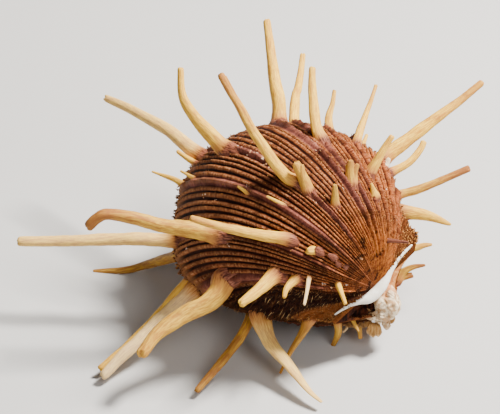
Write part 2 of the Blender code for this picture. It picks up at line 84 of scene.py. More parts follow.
# Spines of each valve: rib angle, place, runs of (heading, turn to the viewer, length), (root, tip)
# width, and the look where it is not the usual one
SPINES = {
    "left": {
        "edge_upper_left": (-3.5, 0.985, ((141.6, -33, 19.2), (149.1, -35, 19.4), (156.7, -35.9, 13.4)),
            (5.9, 2.6), (0.85, 0.12, -0.12, 0.95)),
        "kinked": (-2, 0.88, ((136.7, -6, 9.2), (130.1, -7, 8.9), (118.4, -8, 7.9), (95, -9.4, 10.8)),
            (6.8, 2.3), (0.85, 0.3, 0, 1.3)),
        "front_upper": (-1, 0.62, ((149.5, 8, 5.5), (127.2, 8, 11.5), (122.6, 8, 9.9), (119.7, 3.9, 21.4)),
            (4.7, 2.6), (0.9, 0.75, 0.05, 1.2)),
        "tallest": (18.5, 0.98, ((92.7, -20.2, 8.4), (100.4, -22, 8.1), (97.4, -24, 15.8),
            (97.6, -22.5, 10)), (6.1, 2.8), (0.8, 0.4, 0, 1.1)),
        "upright": (22, 0.77, ((111.5, -16.6, 5.3), (96.9, -20, 10.4), (92.1, -21.1, 13.6)), (4.6, 2.4),
            (0.9, 0.4, 0, 1)),
        "slender_right": (38, 0.89, ((73.3, -32.9, 10.1), (69.3, -34, 9.4), (70.5, -32.4, 8.3)),
            (3.5, 1.3), (0.9, 0.55, 0, 1.4)),
        "long_right": (48.5, 0.99, ((37.6, -9, 11.4), (37.2, -9, 12.3), (35.9, -10, 12.6),
            (39.7, -9.8, 11.1)), (5.9, 2.5), (0.8, 0.65, 0, 1.2)),
        "stub_right": (36.5, 0.67, ((64.1, 2.3, 5.2), (60, 2, 5.8), (55, 2, 5)), (3.9, 2.2)),
        "bent_right": (52.5, 0.98, ((26, -15, 6.2), (37.5, -14, 4.1), (52.7, -12.2, 4.9), (67, -9.7, 3.1)),
            (3.4, 2.2)),
        "low_right": (57.5, 0.98, ((17.3, -5.8, 9), (20.5, -6, 9.1), (23.1, -3.9, 10.6)), (3.3, 2.4),
            (0.9, 1, 0.55, 1)),
        "forked_stub": (20, 0.56, ((96.5, 6.1, 3.8), (88, 10, 4.7)), (4.8, 2), (0.8, 0.6, 0.5, 0.8)),
        "knobby_stub": (-1, 0.575, ((112, 14, 6.4), (116, 14, 5.6)), (4.2, 3), (0.85, 0.45, 0.4, 0.5)),
        "small_stub": (4, 0.49, ((90.9, 30, 3.7), (93, 30, 4.6)), (3.2, 1.5), (0.8, 0.4, 0.45, 0.7)),
        "nub": (50, 0.93, ((63.3, 5.9, 3.4),), (2.6, 1.5), (0.9, 0, -0.5, 1)),
        "scale": (32, 0.53, ((105.8, 24.5, 5.4),), (3.6, 1.1)),
        "edge_bud": (-6, 0.98, ((149, -26, 5.6), (145, -26, 4.1)), (2.6, 1.5)),
        "edge_thorn": (-13, 0.98, ((146.6, -20, 4.7), (160, -19, 9.4)), (3, 0.7)),
        "edge_prick": (-12, 0.93, ((153, -8, 6.5),), (1.9, 0.9)),
        "rib_prick": (-14, 0.72, ((147, 8, 5),), (1.9, 0.8)),
        "rib_scale": (-12, 0.6, ((152, 2, 7.5),), (1.7, 0.8)),
        "hooked": (-30, 0.8, ((168.5, 8, 13), (171.5, 6, 9.9), (166.6, 6, 10), (171.4, 2, 8.3),
            (200.9, -12, 3.8), (221.2, -15.2, 5.4)), (6.5, 3.8), (0.85, 0.85, 0.4, 1.2)),
        "over_hooked": (-24, 0.55, ((171, 14, 9.7), (168, 12, 14.3), (164, 14, 13.4)), (4.6, 2.3),
            (0.85, 0.55, 0.15, 0.9)),
        "long_left": (-29, 0.98, ((178.7, -4, 18.8), (180.9, -4, 18.8), (181.3, -3.9, 20.6)), (5.2, 3.7),
            (0.9, 0.1, -0.12, 1)),
        "low_front": (-44, 0.86, ((243.6, 14.8, 5.7), (217.6, 18.1, 8.2), (208.3, 18.1, 9.2),
            (218, 18, 11.6), (233, 17.3, 9.6)), (8, 4), (0.8, 0.45, 0.2, 0.9)),
        "row_first": (-42, 0.61, ((222, 28, 7.9), (217, 28, 11.4)), (5.6, 2.9), (0.8, 0.1, 0, 0.8)),
        "row_second": (-42, 0.52, ((224, 35, 6), (252, 35, 4.6)), (3.9, 1.5)),
        "row_third": (-39, 0.45, ((260, 38, 6.5), (257, 38, 6.4)), (2.3, 1.2), (0.7, 0.3, -0.25, 1)),
        "row_fourth": (-38, 0.3, ((290, 35, 10),), (2.5, 1.5)),
        "knob_pale": (-23, 0.45, ((190, 50, 4),), (3.2, 2.4), (0.9, 0.3, 0, 0.6)),
        "knob_dark": (-20, 0.36, ((150, 50, 3.5),), (2.6, 1.2), (0.9, 0.1, 1, 1)),
    },
    "right": {
        "behind_tallest": (22, 0.98, ((86.7, -34.9, 15.3), (75.4, -32, 4.8), (82.3, -29.3, 14.5)),
            (4.5, 2.1), (0.9, 0.3, 0.05, 1.1)),
        "thin_back": (31.5, 0.98, ((92.8, -37.3, 8.8), (74.7, -38, 6.5), (80, -36.7, 6.4)), (3.8, 1.4),
            (0.9, 0.35, 0.25, 1.1)),
        "bud_right": (41, 0.98, ((71, -30, 6.9),), (2, 1.2)),
        "floor_left": (-28, 0.93, ((196.6, -55.6, 15.8), (196.2, -54, 15.4), (194.8, -20, 7.3),
            (183.8, -9.4, 12.4)), (4.9, 1.8), (0.9, 0.4, 0.75, 0.9)),
        "low_left": (-42, 0.97, ((220.1, 7, 9.1), (222, 16, 14.2), (223, 16, 12.2), (225, 16, 13.1)),
            (6.6, 3.4), (0.7, 0.05, -0.25, 0.8)),
        "low_left_thin": (-39.5, 0.97, ((226.9, 12.5, 21.6), (224, 13, 14.3), (219, 13, 11.2)), (4.6, 2.4),
            (0.7, 0.15, 0.2, 0.8)),
        "low_middle": (-51.5, 0.86, ((241.2, 23.3, 12.3), (230.7, 27, 13.1), (229.1, 25.4, 13.1)),
            (4.1, 2.4), (0.9, 0.45, 0.85, 1)),
        "broad_front": (-56, 0.95, ((287.4, 20.3, 10.7), (309.1, 24, 11.5), (307.6, 26, 12.6),
            (317.8, 24.3, 7.7)), (8.6, 1.4), (0.5, 0.12, -0.12, 0.85)),
        "curved_front": (-68, 0.87, ((242.3, 4.4, 6.1), (237.8, 12, 7.7), (243.5, 11.4, 9.2)), (4.4, 1),
            (0.9, 0.4, 0.75, 1.5)),
        "ear_front": (-60, 0.47, ((275.3, -38.5, 6.1), (249, -43, 7.7)), (3.4, 1.6), (0.8, 0.4, 0.55, 1)),
        "ear_prick": (-74, 0.53, ((296.4, 7.7, 6.1),), (1.9, 0.8), (0.8, 0.3, 0.5, 1)),
        "beak_prick": (-48, 0.22, ((273.9, 0.5, 6.8),), (2.2, 1.4), (0.7, 0.4, 0.4, 1)),
        "beak_thread": (-50, 0.29, ((254, -0.4, 2.8), (225, 20, 2)), (1.3, 0.6), (0.8, 0, -0.3, 1)),
        "ear_back": (74, 0.74, ((2.3, 1.7, 4.5), (16.5, 4, 3.1), (6.3, 0, 2.9)), (3.7, 1),
            (0.8, 0.6, 0.1, 0.8)),
        "ear_broad": (60, 0.94, ((357, -1, 6.3), (347.3, -2, 6.1), (337.7, 0, 7.6)), (5.7, 0.9),
            (0.7, 0.3, 0.12, 0.7)),
        "beak_long": (80, 0.34, ((54, 10, 4.1), (28, 10, 3.7), (10, 8, 4.7)), (3.6, 1),
            (0.34, 0.9, 0.6, 0.9)),
        "beak_short": (76, 0.32, ((37.8, 15, 2.8), (12, 12, 4.2)), (2.8, 1.4), (0.34, 0.9, 0.55, 0.9)),
        "stilt": (33, 0.58, ((351.6, -74.3, 31.3),), (4.6, 3)),
        "under_first": (0, 0.9, ((170, -66, 15),), (3.4, 1.6)),
        "under_second": (12, 0.76, ((120, -70, 17),), (3.4, 1.6)),
        "under_third": (48, 0.86, ((20, -78, 16),), (3.6, 1.8)),
        "under_fourth": (62, 0.66, ((0, -50, 13),), (3, 1.5)),
        "under_fifth": (-14, 0.84, ((186, -62, 13),), (3, 1.4)),
    },
}
# Second points of forked and broken spines, thin spines and low knobs, as rows of SPINES
PRONGS = {
    "left": {
        "forked_stub": (20, 0.56, ((84, 6, 3.6), (60, 10, 3.9)), (4.4, 1.6), (0.8, 0.6, 0.5, 0.8)),
        "knobby_stub": (-1, 0.575, ((112, 18, 6.2), (92, 16, 4.6)), (3.8, 1.6), (0.85, 0.45, 0.4, 0.5)),
        "knob_side": (-1, 0.575, ((113, 12, 7.6), (140, 16, 3)), (3.4, 1.4), (0.8, 0.45, 0.4, 0.6)),
        "knob_middle": (-22, 0.43, ((150, 50, 2.6),), (3.2, 2.2), (0.9, 0.1, 1, 1)),
        "knob_inner": (-22, 0.325, ((140, 55, 2.4),), (2.6, 1), (0.7, 0.1, 1, 1)),
        "knob_last": (-21, 0.285, ((140, 55, 2),), (2.2, 1), (0.7, 0.1, 1, 1)),
        "fork_side": (20, 0.56, ((100, 4, 3.8), (112, 8, 3.2)), (4, 1.2), (0.8, 0.6, 0.5, 0.8)),
        "ear_thin": (37, 0.32, ((355, 12, 8),), (1.8, 0.9), (0.6, 0.4, 1, 0.8)),
        "front_upper": (-1, 0.62, ((149, 8, 5.5), (127, 8, 11.5), (122, 8, 9.9), (117.5, 4, 20.1)),
            (3, 1.3), (0.9, 0.75, 0.05, 1.2)),
        "row_first": (-42, 0.61, ((222, 28, 7.9), (220, 28, 10.9)), (3.6, 1.7), (0.8, 0.1, 0, 0.8)),
    },
    "right": {
        "beak_short": (76, 0.32, ((44, 14, 3), (23, 12, 3.9)), (2.2, 0.8), (0.34, 0.9, 0.55, 0.9)),
    },
}
SPINE_SIDES = 20
CAP_STEPS = (0.45, 0.75, 0.94)
RING_SPACING = 0.8
COLLAR = 0.16
PRICKLE_ROWS = 176
BRISTLES = 480
PRICKLE_SEED = {"left": 31, "right": 37}
WARMTH = {"left": 0.0, "right": 0.35}


def unit(vectors):
    return vectors / np.maximum(np.linalg.norm(vectors, axis=-1, keepdims=True), 1e-12)


def smoothstep(low, high, value):
    t = np.clip((value - low) / (high - low), 0, 1)
    return t * t * (3 - 2 * t)


def ripple(a, b, seed, waves=7):
    """Smooth irregular value, mostly from -1 to 1: sine waves in seeded directions, added up."""
    draw = np.random.default_rng(seed)
    total = 0.0
    for _ in range(waves):
        along, across, phase = draw.normal(), draw.normal(), draw.uniform(0, 2 * math.pi)
        total = total + np.sin(along * a + across * b + phase)
    return total / math.sqrt(waves)


def view_axes():
    """The hinge, growth and outward directions of the shell, as rows, in the view's axes."""
    heading, dip, tilt = np.radians([HINGE_HEADING, HINGE_DIP, SHELL_TILT])
    hinge = np.array([np.cos(heading) * np.cos(dip), np.sin(heading) * np.cos(dip), np.sin(dip)])
    flat = unit(np.cross([0.0, 0.0, 1.0], hinge))
    growth = np.cos(tilt) * flat - np.sin(tilt) * np.cross(hinge, flat)
    return np.stack([hinge, growth, np.cross(hinge, growth)])


def resting_turn():
    """Turn from the shell's axes to the world's: the view's axes tipped by the view's climb."""
    climb = math.radians(VIEW_CLIMB)
    view_to_world = np.array([[1, 0, 0],
                              [0, math.sin(climb), -math.cos(climb)],
                              [0, math.cos(climb), math.sin(climb)]])
    return view_to_world @ view_axes().T


AXES = view_axes()
TURN = resting_turn()


def to_world(points):
    """Metres in the world. What would reach below the floor is worn flat at it."""
    world = (points @ TURN.T + np.array(UMBO_PLACE)) * MM
    world[:, 2] = np.maximum(world[:, 2], 0.0)
    return world


def with_ends(knots):
    """The knots with one more at each end, in line with the last two."""
    return np.concatenate([[2 * knots[0] - knots[1]], knots, [2 * knots[-1] - knots[-2]]])


def through(a, b, c, d, t):
    """Smooth curve from b, at t = 0, to c, at t = 1, that heads along a to c and b to d at its ends."""
    return b + 0.5 * t * (c - a + t * (2 * a - 5 * b + 4 * c - d + t * (3 * (b - c) + d - a)))


def reach(fan):
    """Distance from the umbo to the edge at a fan angle: a smooth curve through OUTLINE."""
    knots = with_ends(np.array(OUTLINE, float))
    spot = np.clip((fan + 90) / FAN_STEP, 0, len(OUTLINE) - 1.0001)
    index = np.floor(spot).astype(int)
    return through(*(knots[index + step] for step in range(4)), spot - index)


def on_rib(fan, place, side):
    """Point of a valve's outside on a rib: the outline made smaller by the place and turned about the hinge.

    The turn is RISE at the umbo and eases to nothing at the edge. The right valve's growth lines also
    slide from the beak to the hinge.
    """
    fan = fan - RIB_DRIFT * (place - 0.5) * np.cos(np.radians(fan)) ** 2
    angle = np.radians(fan)
    lift = RISE[side] * (1 - place ** EASE[side])
    radius = place * reach(fan)
    point = np.stack([radius * np.sin(angle),
                      radius * np.cos(angle) * np.cos(lift),
                      OUTWARD[side] * (radius * np.cos(angle) * np.sin(lift) + HALF_GAP)], axis=-1)
    ear, flank = np.clip(np.sin(angle), 0, 1) ** 2, np.clip(-np.sin(2 * angle), 0, 1)
    bend = 1 + BEAK_BEND[0] * ear + BEAK_BEND[1] * flank
    return point + ((1 - place) ** bend)[..., None] * np.array(BEAK[side])


def surface_frame(fan, place, side):
    """Point, direction towards the edge, and outward normal of a valve's smooth outside."""
    inner = np.clip(place, 0.03, 0.99)
    steady = np.clip(fan, -89, 89)
    along = on_rib(steady, inner + 0.002, side) - on_rib(steady, inner - 0.002, side)
    across = on_rib(steady + 0.2, inner, side) - on_rib(steady - 0.2, inner, side)
    return on_rib(fan, place, side), unit(along), unit(np.cross(across, along)) * OUTWARD[side]


def rib_crests():
    """Fan angles of every crest, in order, and 1 for a main rib or 0 for a riblet."""
    uneven = np.random.default_rng(17)
    crests, kinds = [], []
    stops = (-90.0, *MAIN_RIBS, 90.0)
    for index, (start, end) in enumerate(zip(stops, stops[1:])):
        low = start + (RIB_ROOM * RIBLET_SPACING if index else 0.0)
        high = end - (RIB_ROOM * RIBLET_SPACING if end < 90 else 0.0)
        count = max(0, round((high - low) / RIBLET_SPACING) + 1)
        between = np.linspace(low, high, count) if count > 1 else np.array([(low + high) / 2] * count)
        between = between + uneven.uniform(-0.31, 0.31, count) * RIBLET_SPACING
        crests.extend(between)
        kinds.extend([0.0] * count)
        if end < 90:
            crests.append(end)
            kinds.append(1.0)
    return np.array(crests), np.array(kinds)


CRESTS, CREST_KINDS = rib_crests()


def rib_wander(fan, place):
    """How far the riblets stray sideways from their straight rays, in degrees."""
    return 0.22 * ripple(fan * 0.35, place * 9.0, 11) * np.cos(np.radians(fan))


def rib_section(fan, place):
    """Relief across the ribs: each crest is an arch, half of 1 + cos(2 pi d), with a groove on each side.

    d is the distance from the nearest crest, as a share of the distance between two crests. Returns
    the arch's height from 0 to 1, how much of a main rib it is, and the running number of the crest.
    """
    spot = np.interp(fan + rib_wander(fan, place), CRESTS, np.arange(len(CRESTS)))
    nearest = np.rint(spot).astype(int)
    main = CREST_KINDS[nearest]
    arch = (0.5 + 0.5 * np.cos(2 * math.pi * np.abs(spot - nearest))) ** (0.60 - 0.20 * main)
    return arch, main, spot


def rib_relief(fan, place):
    """Height of the ribs over the smooth surface, with growth steps across them."""
    arch, main, spot = rib_section(fan, place)
    grown = np.clip(place / (RELIEF_FROM + 0.26 * smoothstep(5, 40, fan)), 0, 1) ** 1.3
    uneven = 1 + 0.22 * ripple(spot * 1.3, place * 14, 5) + 0.12 * ripple(spot * 2.1, place * 90, 6)
    ear = smoothstep(63, 74, np.abs(fan))
    height = (RIBLET_RISE + (RIB_RISE - RIBLET_RISE) * main) * arch * grown * uneven * (1 - 0.6 * ear)
    height += 0.28 * ear * ripple(fan * 0.9, place * 55, 9)
    nodules = np.maximum(0, np.sin(place * reach(fan) * 2.1 + 1.5 * ripple(spot, place * 6, 13)))
    height += 0.45 * main * arch * grown * nodules ** 1.5
    steps = (place * GROWTH_STEPS + 0.35 * ripple(fan * 0.08, place * 4, 3)) % 1.0
    height += 0.20 * grown * (steps - 0.5)
    for rest_at in GROWTH_RESTS:
        gap = (place - rest_at - 0.004 * ripple(fan * 0.2, 0, 8)) / 0.008
        height -= 0.35 * np.exp(-gap ** 2)
    return height


def joined(surfaces):
    """Several surfaces as one: points, faces and attributes put end to end."""
    points = np.concatenate([surface[0] for surface in surfaces])
    faces, start = [], 0
    for surface in surfaces:
        faces.extend(block + start for block in surface[1])
        start += len(surface[0])
    names = surfaces[0][2].keys()
    return points, faces, {name: np.concatenate([surface[2][name] for surface in surfaces]) for name in names}


def new_thing(name, data):
    thing = bpy.data.objects.new(name, data)
    bpy.context.scene.collection.objects.link(thing)
    return thing


def put_piece(name, surfaces, material, node):
    """A new piece at the origin from surfaces, each of points in the shell's millimetres, faces as a
    list of index arrays, and values for every point. It stands for a node and takes a material slot.
    """
    points, faces, attributes = joined(surfaces)
    mesh = bpy.data.meshes.new(name)
    loops = np.concatenate([block.ravel() for block in faces])
    sizes = np.concatenate([np.full(len(block), block.shape[1]) for block in faces])
    starts = np.concatenate([[0], np.cumsum(sizes)[:-1]])
    mesh.vertices.add(len(points))
    mesh.vertices.foreach_set("co", to_world(points).ravel())
    mesh.loops.add(len(loops))
    mesh.loops.foreach_set("vertex_index", loops.astype(np.int32))
    mesh.polygons.add(len(sizes))
    mesh.polygons.foreach_set("loop_start", starts.astype(np.int32))
    mesh.update(calc_edges=True)
    mesh.shade_smooth()
    for key, values in attributes.items():
        kind, field = ("FLOAT_VECTOR", "vector") if values.ndim == 2 else ("FLOAT", "value")
        mesh.attributes.new(key, kind, "POINT").data.foreach_set(field, values.astype(np.float32).ravel())
    mesh.materials.append(material)
    piece = new_thing(name, mesh)
    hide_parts(node)
    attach(piece, "root")


def grid_faces(rows, columns, flip=False):
    """Quads of a grid of points, row after row, with the last column joined to the first."""
    row = np.arange(rows - 1)[:, None] * columns
    column = np.arange(columns)[None, :]
    following = (column + 1) % columns
    quads = np.stack([row + column, row + following, row + columns + following, row + columns + column], -1)
    quads = quads.reshape(-1, 4)
    return quads[:, ::-1] if flip else quads


def fan_faces(centre, ring, flip=False):
    """Triangles from a centre point to a closed ring of points."""
    triangles = np.stack([np.full(len(ring), centre), ring, np.roll(ring, -1)], -1)
    return triangles[:, ::-1] if flip else triangles


def capped(sheet, first, last, flip=False):
    """Points and faces of a closed surface: rows of closed rings, with a point before and after them."""
    rows, columns = sheet.shape[:2]
    count = rows * columns
    points = np.concatenate([sheet.reshape(-1, 3), [first], [last]])
    return points, [grid_faces(rows, columns, flip),
                    fan_faces(count, np.arange(columns), not flip),
                    fan_faces(count + 1, count - columns + np.arange(columns), flip)]


def valve_surface(side):
    """Outside of a valve, its flat hinge area, its edge and the hollow inside, as one closed surface.

    Outside: on_rib() on a grid of fan angle and place, moved out along the normal by rib_relief().
    Hinge area: straight lines from the last rib back to the first, sunk between 0.52 and 1.0 of the
    way on the right valve. Inside: rings like the edge, made smaller about the outline's middle, that
    rise to a blunt roof.
    """
    places = np.concatenate([np.linspace(0.012, 0.93, ROWS - EDGE_ROWS), np.linspace(0.935, 1.0, EDGE_ROWS)])
    place, fan = np.meshgrid(places, np.linspace(-90, 90, COLUMNS), indexing="ij")
    point, along, normal = surface_frame(fan, place, side)
    fade = np.sin(np.radians(np.clip((90 - np.abs(fan)) * 6, 0, 90)))
    lift = rib_relief(fan, place) * fade * (1 - 0.55 * smoothstep(0.97, 1.0, place))
    sheet = point + normal * lift[..., None]
    arch, _, spot = rib_section(fan, place)
    teeth = 0.5 * (arch - 0.5) * smoothstep(0.95, 1.0, place) * fade
    sheet[..., :2] += (along * teeth[..., None])[..., :2]
    level = OUTWARD[side] * HALF_GAP
    sheet[-1, :, 2] = level

    t = np.linspace(0, 1, AREA_COLUMNS + 2)[1:-1]
    area = sheet[:, -1:, :] * (1 - t)[None, :, None] + sheet[:, :1, :] * t[None, :, None]
    if side == "left":
        area[..., 2] = level
    else:
        sunk = 2.0 * smoothstep(0.52, 0.68, t)[None, :] * smoothstep(1.0, 0.93, t)[None, :]
        sunk = sunk * smoothstep(0.92, 0.74, places)[:, None] * smoothstep(0.12, 0.3, places)[:, None]
        sunk = sunk * (1 + 0.3 * ripple(t[None, :] * 30, places[:, None] * 20, 4))
        area = area + sunk[..., None] * HOLLOW_WAY
    outside = np.concatenate([sheet, area], axis=1)

    middle = np.array(OUTLINE_MIDDLE)
    shares = np.array(INSIDE_SHARES)
    rings = middle + shares[:, None, None] * (outside[-1][None] - middle)
    rings[..., 2] = level + ROOF_HEIGHT[side] * np.maximum(0, shares[0] - shares)[:, None]
    roof = middle + np.array([0, 0, level + ROOF_HEIGHT[side] * shares[0]])
    tip = np.array(BEAK[side]) + np.array([0, 0, level])
    points, faces = capped(np.concatenate([outside, rings]), tip, roof, side == "left")

    def spread(values, elsewhere=0.0, hinge_area=None):
        full = np.full((len(places) + len(shares), COLUMNS + AREA_COLUMNS), elsewhere, float)
        full[:len(places), :COLUMNS] = values
        if hinge_area is not None:
            full[:len(places), COLUMNS:] = hinge_area
        return np.append(full.ravel(), [elsewhere, elsewhere])

    hinge_area = 1 - smoothstep(0.46, 0.54, t) - smoothstep(0.54, 0.64, t) if side == "right" else 0.0
    pink = np.interp(spot, np.arange(len(CRESTS)), CREST_KINDS * np.interp(CRESTS, *RIB_PINK))
    grain = np.stack([spread(spot), spread(place * 80), spread(0)], -1)
    return points, faces, {"crest": spread(arch, 0.5), "place": spread(place), "fan": spread(fan, -60),
                           "pink": spread(pink), "bare": spread(0, 1.0, hinge_area), "grain": grain}


def frames_along(path):
    """Direction, across and up at each point of a path, carried along without twisting."""
    heading = unit(np.gradient(path, axis=0))
    across = np.empty_like(path)
    across[0] = unit(np.cross(heading[0], AXES[:, 2]))
    for index in range(1, len(path)):
        carried = across[index - 1] - heading[index] * np.dot(across[index - 1], heading[index])
        across[index] = unit(carried)
    return heading, across, np.cross(heading, across)


def smooth_path(points, spacing):
    """Points at an even spacing on a smooth curve through the given ones."""
    points = np.array(points)
    ends = with_ends(points)
    path = [points[:1]]
    for index in range(len(points) - 1):
        span = ends[index:index + 4]
        count = max(1, round(float(np.linalg.norm(span[2] - span[1])) / spacing))
        path.append(through(*span, np.linspace(0, 1, count + 1)[1:, None]))
    return np.concatenate(path)


def oval_tube(path, wide, across, thin, up):
    """Rings of points round a path: half widths across it and up from it at each step round."""
    return path[:, None, :] + wide[..., None] * across[:, None, :] + thin[..., None] * up[:, None, :]


def turns(sides):
    """Even angles round a closed ring, as one row."""
    return np.linspace(0, 2 * math.pi, sides, endpoint=False)[None, :]


def view_step(heading, towards, length):
    turn, out = math.radians(heading), math.radians(towards)
    step = np.array([math.cos(out) * math.cos(turn), math.cos(out) * math.sin(turn), math.sin(out)])
    return length * (AXES @ step)


def spine_surface(side, row, seed):
    """One spine: an oval carried along a curve, wide at the root, with fine ridges and a worn blunt tip.

    The root runs up out of the rib before the spine leaves it. The radius is
    tip + (root - tip) * (1 - share) ^ taper, with a collar at the root that fades as exp(-distance ^ 2),
    times one plus ridges round the oval and swells along it. The horn colour starts at the root and is
    full one and a half root widths further, or halfway up a short spine. A soil of 1 keeps it off.
    """
    fan, place, runs, (root_width, tip_width), *look = row
    flat, rust, soil, taper = look[0] if look else USUAL_LOOK
    draw = np.random.default_rng(seed)
    fan, place = np.array(float(fan)), np.array(float(place))
    back = 1.25 * root_width / 75
    points = []
    for start, depth in ((place - back, 0.62), (place - 0.5 * back, 0.32), (place, 0.02)):
        root, _, normal = surface_frame(fan, start, side)
        points.append(root - depth * root_width * normal)
    cap_reach = tip_width * 0.30
    for heading, towards, length in runs[:-1]:
        root = root + view_step(heading, towards, length)
        points.append(root)
    heading, towards, length = runs[-1]
    points.append(root + view_step(heading, towards, length - cap_reach))
    path = smooth_path(points, RING_SPACING)
    travelled = np.concatenate([[0], np.cumsum(np.linalg.norm(np.diff(path, axis=0), axis=1))])
    buried = float(np.linalg.norm(points[1] - points[0]) + np.linalg.norm(points[2] - points[1]))
    length = travelled[-1] - buried
    share = np.clip((travelled - buried) / length, 0, 1)
    radius = tip_width / 2 + (root_width - tip_width) / 2 * (1 - share) ** taper
    radius = radius * (1 + COLLAR * np.exp(-((travelled - buried) / (0.6 * root_width)) ** 2))
    radius = radius * (0.5 + 0.5 * smoothstep(0, 0.8 * buried, travelled))
    bend = np.stack([ripple(travelled * 0.16, 0, seed + axis) for axis in range(3)], -1)
    path = path + 0.07 * tip_width * bend * smoothstep(buried, buried + 0.3 * length, travelled)[:, None]

    heading, across, up = frames_along(path)
    cap = np.array(CAP_STEPS)
    path = np.concatenate([path, path[-1] + heading[-1] * (cap * cap_reach)[:, None]])
    radius = np.concatenate([radius, radius[-1] * np.sqrt(1 - cap ** 2) ** 0.8])
    across, up = (np.concatenate([way, np.repeat(way[-1:], len(cap), axis=0)]) for way in (across, up))
    travelled = np.concatenate([travelled, travelled[-1] + cap * cap_reach])
    share = np.concatenate([share, np.ones(len(cap))])

    angle = turns(SPINE_SIDES)
    run = travelled[:, None]
    phase = draw.uniform(0, 6.28, 4)
    ridges = 0.045 * np.cos(3 * angle + phase[0] + run * 0.03) + 0.03 * np.cos(7 * angle + phase[1])
    swells = 0.045 * ripple(run * 0.45, np.cos(angle + phase[2]), seed + 20)
    rings = 0.012 * np.sin(run * 5.0 + 1.2 * np.sin(run * 0.7 + phase[3]))
    girth = radius[:, None] * (1 + ridges + swells + rings)
    sheet = oval_tube(path, girth * np.cos(angle), across, girth * np.sin(angle) * flat, up)
    ragged = 0.14 * tip_width * ripple(3 * np.cos(angle), 3 * np.sin(angle), seed + 40)
    sheet[-1 - len(cap):] += np.minimum(ragged, 0.05 * tip_width)[..., None] * heading[-1]
    points, faces = capped(sheet, sheet[0].mean(axis=0), sheet[-1].mean(axis=0))

    def spread(values):
        full = np.broadcast_to(values, (len(sheet), SPINE_SIDES)).ravel()
        return np.concatenate([full, full[:1], full[-1:]])

    grain = np.stack([spread(np.cos(angle) * 2.0 + seed * 7.3), spread(np.sin(angle) * 2.0),
                      spread(run * 0.16)], -1)
    horn = smoothstep(-0.5 * root_width, np.minimum(1.5 * root_width, 0.5 * length), run - buried)
    return points, faces, {"horn": spread(horn * (soil < 1)), "tip": spread(share[:, None]),
                           "rust": spread(rust), "soil": spread(soil), "grain": grain}


def thorns(centres, headings, sideways, lengths, widths, flat, curl, segments, attributes):
    """Many small closed thorns at once: rings of four points that shrink to a tip and curl as they rise.

    Ring k stands at share t = k / segments of the length, its half width is width * (1 - t) ^ 0.7,
    and it is moved by curl * t ^ 2 * length towards headings' own third direction.
    """
    count = len(centres)
    third = np.cross(headings, sideways)
    corner = np.array([[1, 0], [0, 1], [-1, 0], [0, -1]], float)
    rings = []
    for k in range(segments):
        t = k / segments
        centre = centres + headings * (lengths * t)[:, None] + third * (curl * t * t * lengths)[:, None]
        half = widths * 0.5 * (1 - t) ** 0.7
        rings.append(centre[:, None, :] + half[:, None, None] * (corner[None, :, :1] * sideways[:, None, :]
                     + flat * corner[None, :, 1:] * third[:, None, :]))
    tip = centres + headings * lengths[:, None] + third * (curl * lengths)[:, None]
    points = np.concatenate([np.stack(rings, 1).reshape(count, -1, 3), tip[:, None, :]], axis=1)
    stride = segments * 4 + 1
    start = np.arange(count)[:, None, None] * stride
    quads = [[4 * k + c, 4 * k + (c + 1) % 4, 4 * k + 4 + (c + 1) % 4, 4 * k + 4 + c]
             for k in range(segments - 1) for c in range(4)] + [[3, 2, 1, 0]]
    last = (segments - 1) * 4
    peaks = [[last + c, last + (c + 1) % 4, stride - 1] for c in range(4)]
    faces = [(np.array(quads)[None] + start).reshape(-1, 4), (np.array(peaks)[None] + start).reshape(-1, 3)]
    full = {name: np.repeat(values, stride, axis=0) for name, values in attributes.items()}
    full["rise"] = np.tile(np.concatenate([np.repeat(np.arange(segments) / segments, 4), [1.0]]), count)
    return points.reshape(-1, 3), faces, full


def prickle_surface(side, seed):
    """Scaly prickles on the riblets, a longer fringe at the edge, and bristles on the dark flank."""
    draw = np.random.default_rng(seed)
    crests = np.repeat(CRESTS, PRICKLE_ROWS)
    kinds = np.repeat(CREST_KINDS, PRICKLE_ROWS)
    places = np.tile(np.linspace(0.16, 0.998, PRICKLE_ROWS), len(CRESTS))
    places = np.clip(places + draw.uniform(-0.005, 0.005, len(crests)), 0.1, 0.999)
    chance = np.clip(0.3 + places * reach(crests) * 0.0088, 0, 1) - 0.35 * kinds
    keep = (np.abs(crests) < 86) & (draw.uniform(0, 1, len(crests)) < chance)
    crests, places = crests[keep], places[keep]
    count = len(crests)
    crests = crests + draw.normal(0, 0.28, count)
    flank = smoothstep(-47, -53, crests) * (1 - smoothstep(-61, -68, crests))
    edge = smoothstep(0.955, 1.0, places)
    lengths = 0.46 + 0.26 * draw.uniform(-1, 1, count) + 0.8 * edge + 1.3 * flank * draw.uniform(0, 1, count)
    widths = np.where(flank > 0.5, 0.34, 0.62) + 0.12 * draw.uniform(-1, 1, count) + 0.25 * edge
    fans = crests - rib_wander(crests, places)
    point, along, normal = surface_frame(fans, places, side)
    point = point + normal * (rib_relief(fans, places) - 0.22)[:, None]
    tilt = np.radians(38 + 14 * draw.normal(0, 1, count) + 16 * flank - 18 * edge)
    heading = unit(along * np.cos(tilt)[:, None] + normal * np.sin(tilt)[:, None])
    sideways = unit(np.cross(heading, normal))
    heading = unit(heading + sideways * (0.25 * draw.normal(0, 1, count))[:, None])
    sideways = unit(np.cross(heading, normal))
    attributes = {"place": places, "flank": flank, "chance": draw.uniform(0, 1, count)}
    return thorns(point, heading, sideways, lengths, widths, 0.38, -0.12, 2, attributes)


